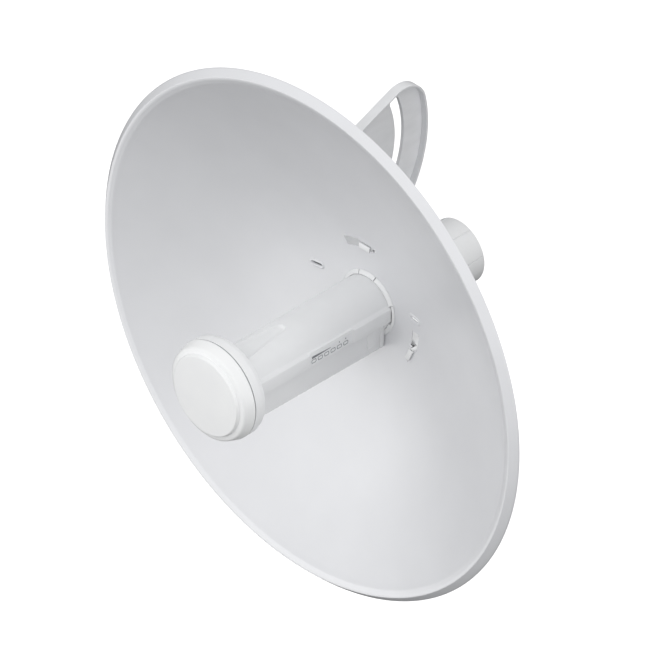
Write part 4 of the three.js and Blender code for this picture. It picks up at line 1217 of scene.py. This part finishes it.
POLE_X, POLE_Y, POLE_Z, POLE_R = -100.0, 130.0, -24.0, 24.0
PRESSING = 3.0
BRACKET_X, BRACKET_FAR, BRACKET_WEB, BRACKET_FLANGE = -60.3, -144.0, 97.0, 122.0
BRACKET_HALF = 20.0
JAW_WEB, JAW_NEAR, JAW_FLANGE = 160.0, -57.5, 138.0
VEE_ANGLE, TOOTH_PITCH, TOOTH_DEPTH = math.radians(60), 5.0, 1.4
BOLT_OFFSET, BOLT_END = 34.0, 181.0
M8_HOLE, M8_CORNER, M8_NUT, M8_WASHER, M8_WASHER_THICK, M8_HEAD = 4.4, 7.4, 6.5, 8.0, 1.6, 5.2
LOCK = math.radians(-36)
LOCK_Y, LOCK_Z = PIVOT_Y + SLOT_R * math.cos(LOCK), PIVOT_Z + SLOT_R * math.sin(LOCK)


def vee(near, far, base, tip):
    """A clamping flange: a strip with a toothed vee cut into the edge that meets the pole."""
    side = math.copysign(1, tip - base)
    apex = POLE_Y - side * POLE_R / math.sin(VEE_ANGLE)
    half = abs(tip - apex) * math.tan(VEE_ANGLE)
    teeth = int(half // TOOTH_PITCH)
    edge = []
    for k in range(teeth, 0, -1):
        out, mid = half * k / teeth, half * (k - 0.5) / teeth
        edge.append((out, apex + side * out / math.tan(VEE_ANGLE)))
        edge.append((mid, apex + side * (mid / math.tan(VEE_ANGLE) - TOOTH_DEPTH)))
    right = [(POLE_X + u, v) for u, v in edge]
    left = [(POLE_X - u, v) for u, v in reversed(edge)]
    return [(near, base), (near, tip)] + right + left + [(far, tip), (far, base)]


def pressing(web_y, near, far, tip):
    """A folded channel: a web with two bolt holes, and a toothed flange at each edge."""
    low, high = POLE_Z - BRACKET_HALF, POLE_Z + BRACKET_HALF
    holes = [circle(POLE_X + side * BOLT_OFFSET, POLE_Z, M8_HOLE, 36) for side in (-1, 1)]
    corners = rounded([(near, low, 2.5), (near, high, 2.5), (far, high, 2.5), (far, low, 2.5)], 4)
    made = prism(corners, web_y, web_y + PRESSING, holes=holes, bevel=0.4)
    flange = vee(near, far, web_y + 1, tip)
    made.add(prism(flange, high - PRESSING, high, "z", bevel=0.35))
    made.add(prism(flange, low, low + PRESSING, "z", bevel=0.35))
    return made


bracket = pressing(BRACKET_WEB, BRACKET_X + 1, BRACKET_FAR, BRACKET_FLANGE)
run = math.degrees(math.atan2(LOCK_Z - PIVOT_Z, LOCK_Y - PIVOT_Y)) + 90
side_line = rounded([(BRACKET_WEB, POLE_Z - BRACKET_HALF, 2.0),
                     (BRACKET_FLANGE, POLE_Z - BRACKET_HALF, 3.0),
                     (BRACKET_FLANGE, POLE_Z + BRACKET_HALF, 0)], 4)
side_line += arc(LOCK_Y, LOCK_Z, BOSS, -20, run, 14)
side_line += arc(PIVOT_Y, PIVOT_Z, BOSS, run, 208, 22)
side_line += [(BRACKET_WEB, 18)]
side_holes = [circle(PIVOT_Y, PIVOT_Z, M8_HOLE, 36), circle(LOCK_Y, LOCK_Z, M8_HOLE, 36)]
bracket.add(prism(side_line, BRACKET_X, BRACKET_X + PRESSING, "x", holes=side_holes, bevel=0.4))
fit(welded(bracket, "pole_bracket_pressing", 30), "pole_mount", zinc, "zinc_steel",
    "pole_bracket")

jaw = pressing(JAW_WEB, JAW_NEAR, BRACKET_FAR, JAW_FLANGE)
fit(welded(jaw, "clamp_jaw_pressing", 30), "clamp", zinc, "zinc_steel", "clamp_jaw")


# ---------------------------------------------------------------- bolts, washers and nuts
# M8 fasteners, zinc plated: two carriage bolts draw the jaw to the bracket, and two hexagon
# bolts join the bracket to the elevation plate, one as the pivot and one to lock the tilt.

PITCH = 1.25


def hexagonal(corner, height, hole=0.0):
    """A hexagon along y from 0, its ends turned to the 30-degree chamfer of a nut."""
    flat = corner * math.cos(math.radians(30))
    made, rows, steps = Shape(), [], 96
    for s in range(steps):
        degrees = 360 * s / steps
        off = (degrees + 30) % 60 - 30
        out = flat / math.cos(math.radians(off))
        drop = (out - flat * 0.98) * math.tan(math.radians(30))
        t = math.radians(degrees)
        profile = [(hole + 0.02, 0), (flat * 0.98, 0), (out, drop), (out, height - drop),
                   (flat * 0.98, height), (hole + 0.02, height)]
        rows.append([(r * math.sin(t), y, r * math.cos(t)) for r, y in profile])
    made.grid(rows, close_rows=True)
    return made


def thread(tree, given):
    """A helical ridge about z: a three-sided section swept along a spiral."""
    spiral = node(tree, "GeometryNodeCurveSpiral",
                  [("Resolution", given["Steps per Turn"]), ("Rotations", given["Turns"]),
                   ("Start Radius", given["Radius"]), ("End Radius", given["Radius"]),
                   ("Height", given["Height"])])
    upright = node(tree, "GeometryNodeSetCurveNormal", [("Curve", spiral.outputs["Curve"])],
                   mode="Z_UP")
    ridge = node(tree, "GeometryNodeCurvePrimitiveCircle", [("Radius", given["Ridge"])],
                 Resolution=3)
    swept = node(tree, "GeometryNodeCurveToMesh",
                 [("Curve", upright.outputs["Curve"]), ("Profile Curve", ridge.outputs["Curve"])],
                 Fill_Caps=True)
    return swept.outputs["Mesh"]


def thread_mesh(length):
    turns = length / PITCH
    return grown("m8_thread", {"Radius": 3.55 * MM, "Ridge": 0.5 * MM, "Turns": turns,
                               "Height": length * MM, "Steps per Turn": 28}, thread, zinc)


def threaded_bolt(name, head, shank_from, thread_from, end, move):
    """A head and shank drawn along y, its thread, and its turned end, as one object."""
    shank = lathe(rounded([(0.02, shank_from, 0), (4.0, shank_from, 0), (4.0, thread_from, 0.3),
                           (3.55, thread_from + 0.5, 0.1), (3.55, end - 0.6, 0.3),
                           (3.0, end, 0.2), (0.02, end, 0)], 3), 48)
    turned = Shape().add(head.add(shank), move)
    helix = placed(thread_mesh(end - thread_from - 1.6),
                   move @ Matrix.Translation((0, thread_from + 0.8, 0))
                   @ Matrix.Rotation(math.radians(-90), 4, "X"), name + "_thread")
    return one_mesh(name, welded(turned, name + "_body", 30), helix)


DOME_R, DOME_TOP, DOME_RISE = 8, -4.4, 3.2


def carriage_head():
    """A domed head along y, whose flat underside is at 0."""
    turns = [math.radians(a) for a in range(10, 91, 8)]
    dome = [(DOME_R * math.sin(t), DOME_TOP + DOME_RISE * (1 - math.cos(t))) for t in turns]
    return lathe([(0.02, DOME_TOP)] + dome + [(DOME_R, -0.4), (DOME_R - 0.4, 0), (0.02, 0)], 64)


def flat_washer():
    return prism(circle(0, 0, M8_WASHER, 48), 0, M8_WASHER_THICK,
                 holes=[circle(0, 0, M8_HOLE, 36)], bevel=0.2)


PLAY = 0.3
WEB_FACE = BRACKET_WEB - PLAY
WASHER_Y = JAW_WEB + PRESSING + PLAY
NUT_Y = WASHER_Y + M8_WASHER_THICK + PLAY
for side, offset in (("left", -BOLT_OFFSET), ("right", BOLT_OFFSET)):
    at = Matrix.Translation((POLE_X + offset, 0, POLE_Z))
    head = Shape().add(carriage_head(), Matrix.Translation((0, WEB_FACE, 0)))
    bolt = threaded_bolt(f"clamp_bolt_{side}_carriage", head, WEB_FACE - 1, 130, BOLT_END, at)
    fit(bolt, "pole_mount", zinc, "zinc_steel", f"clamp_bolt_{side}")
    washer = Shape().add(flat_washer(), at @ Matrix.Translation((0, WASHER_Y, 0)))
    fit(welded(washer, f"clamp_washer_{side}_flat", 30), "clamp", zinc, "zinc_steel",
        f"clamp_washer_{side}")
    nut = Shape().add(hexagonal(M8_CORNER, M8_NUT, 4.25), at @ Matrix.Translation((0, NUT_Y, 0)))
    fit(welded(nut, f"clamp_nut_{side}_hex", 25), "clamp", zinc, "zinc_steel", f"clamp_nut_{side}")

HEAD_X = BRACKET_X - PLAY
WASHER_X = PLATE_INNER_X + PLAY
NUT_X = WASHER_X + M8_WASHER_THICK + PLAY
y_to_x = Matrix.Rotation(math.radians(-90), 4, "Z")
for name, y, z in (("pivot", PIVOT_Y, PIVOT_Z), ("lock", LOCK_Y, LOCK_Z)):
    at = Matrix.Translation((0, y, z)) @ y_to_x
    head = Shape().add(hexagonal(M8_CORNER, M8_HEAD), Matrix.Translation((0, HEAD_X - M8_HEAD, 0)))
    bolt = threaded_bolt(f"{name}_bolt_hex", head, HEAD_X - 1, PLATE_INNER_X - 1.5,
                         NUT_X + M8_NUT + 2, at)
    fit(bolt, "pole_mount", zinc, "zinc_steel", f"{name}_bolt")
    washer = Shape().add(flat_washer(), at @ Matrix.Translation((0, WASHER_X, 0)))
    fit(welded(washer, f"{name}_washer_flat", 30), "pole_mount", zinc, "zinc_steel",
        f"{name}_washer")
    nut = Shape().add(hexagonal(M8_CORNER, M8_NUT, 4.25), at @ Matrix.Translation((0, NUT_X, 0)))
    fit(welded(nut, f"{name}_nut_hex", 25), "pole_mount", zinc, "zinc_steel", f"{name}_nut")
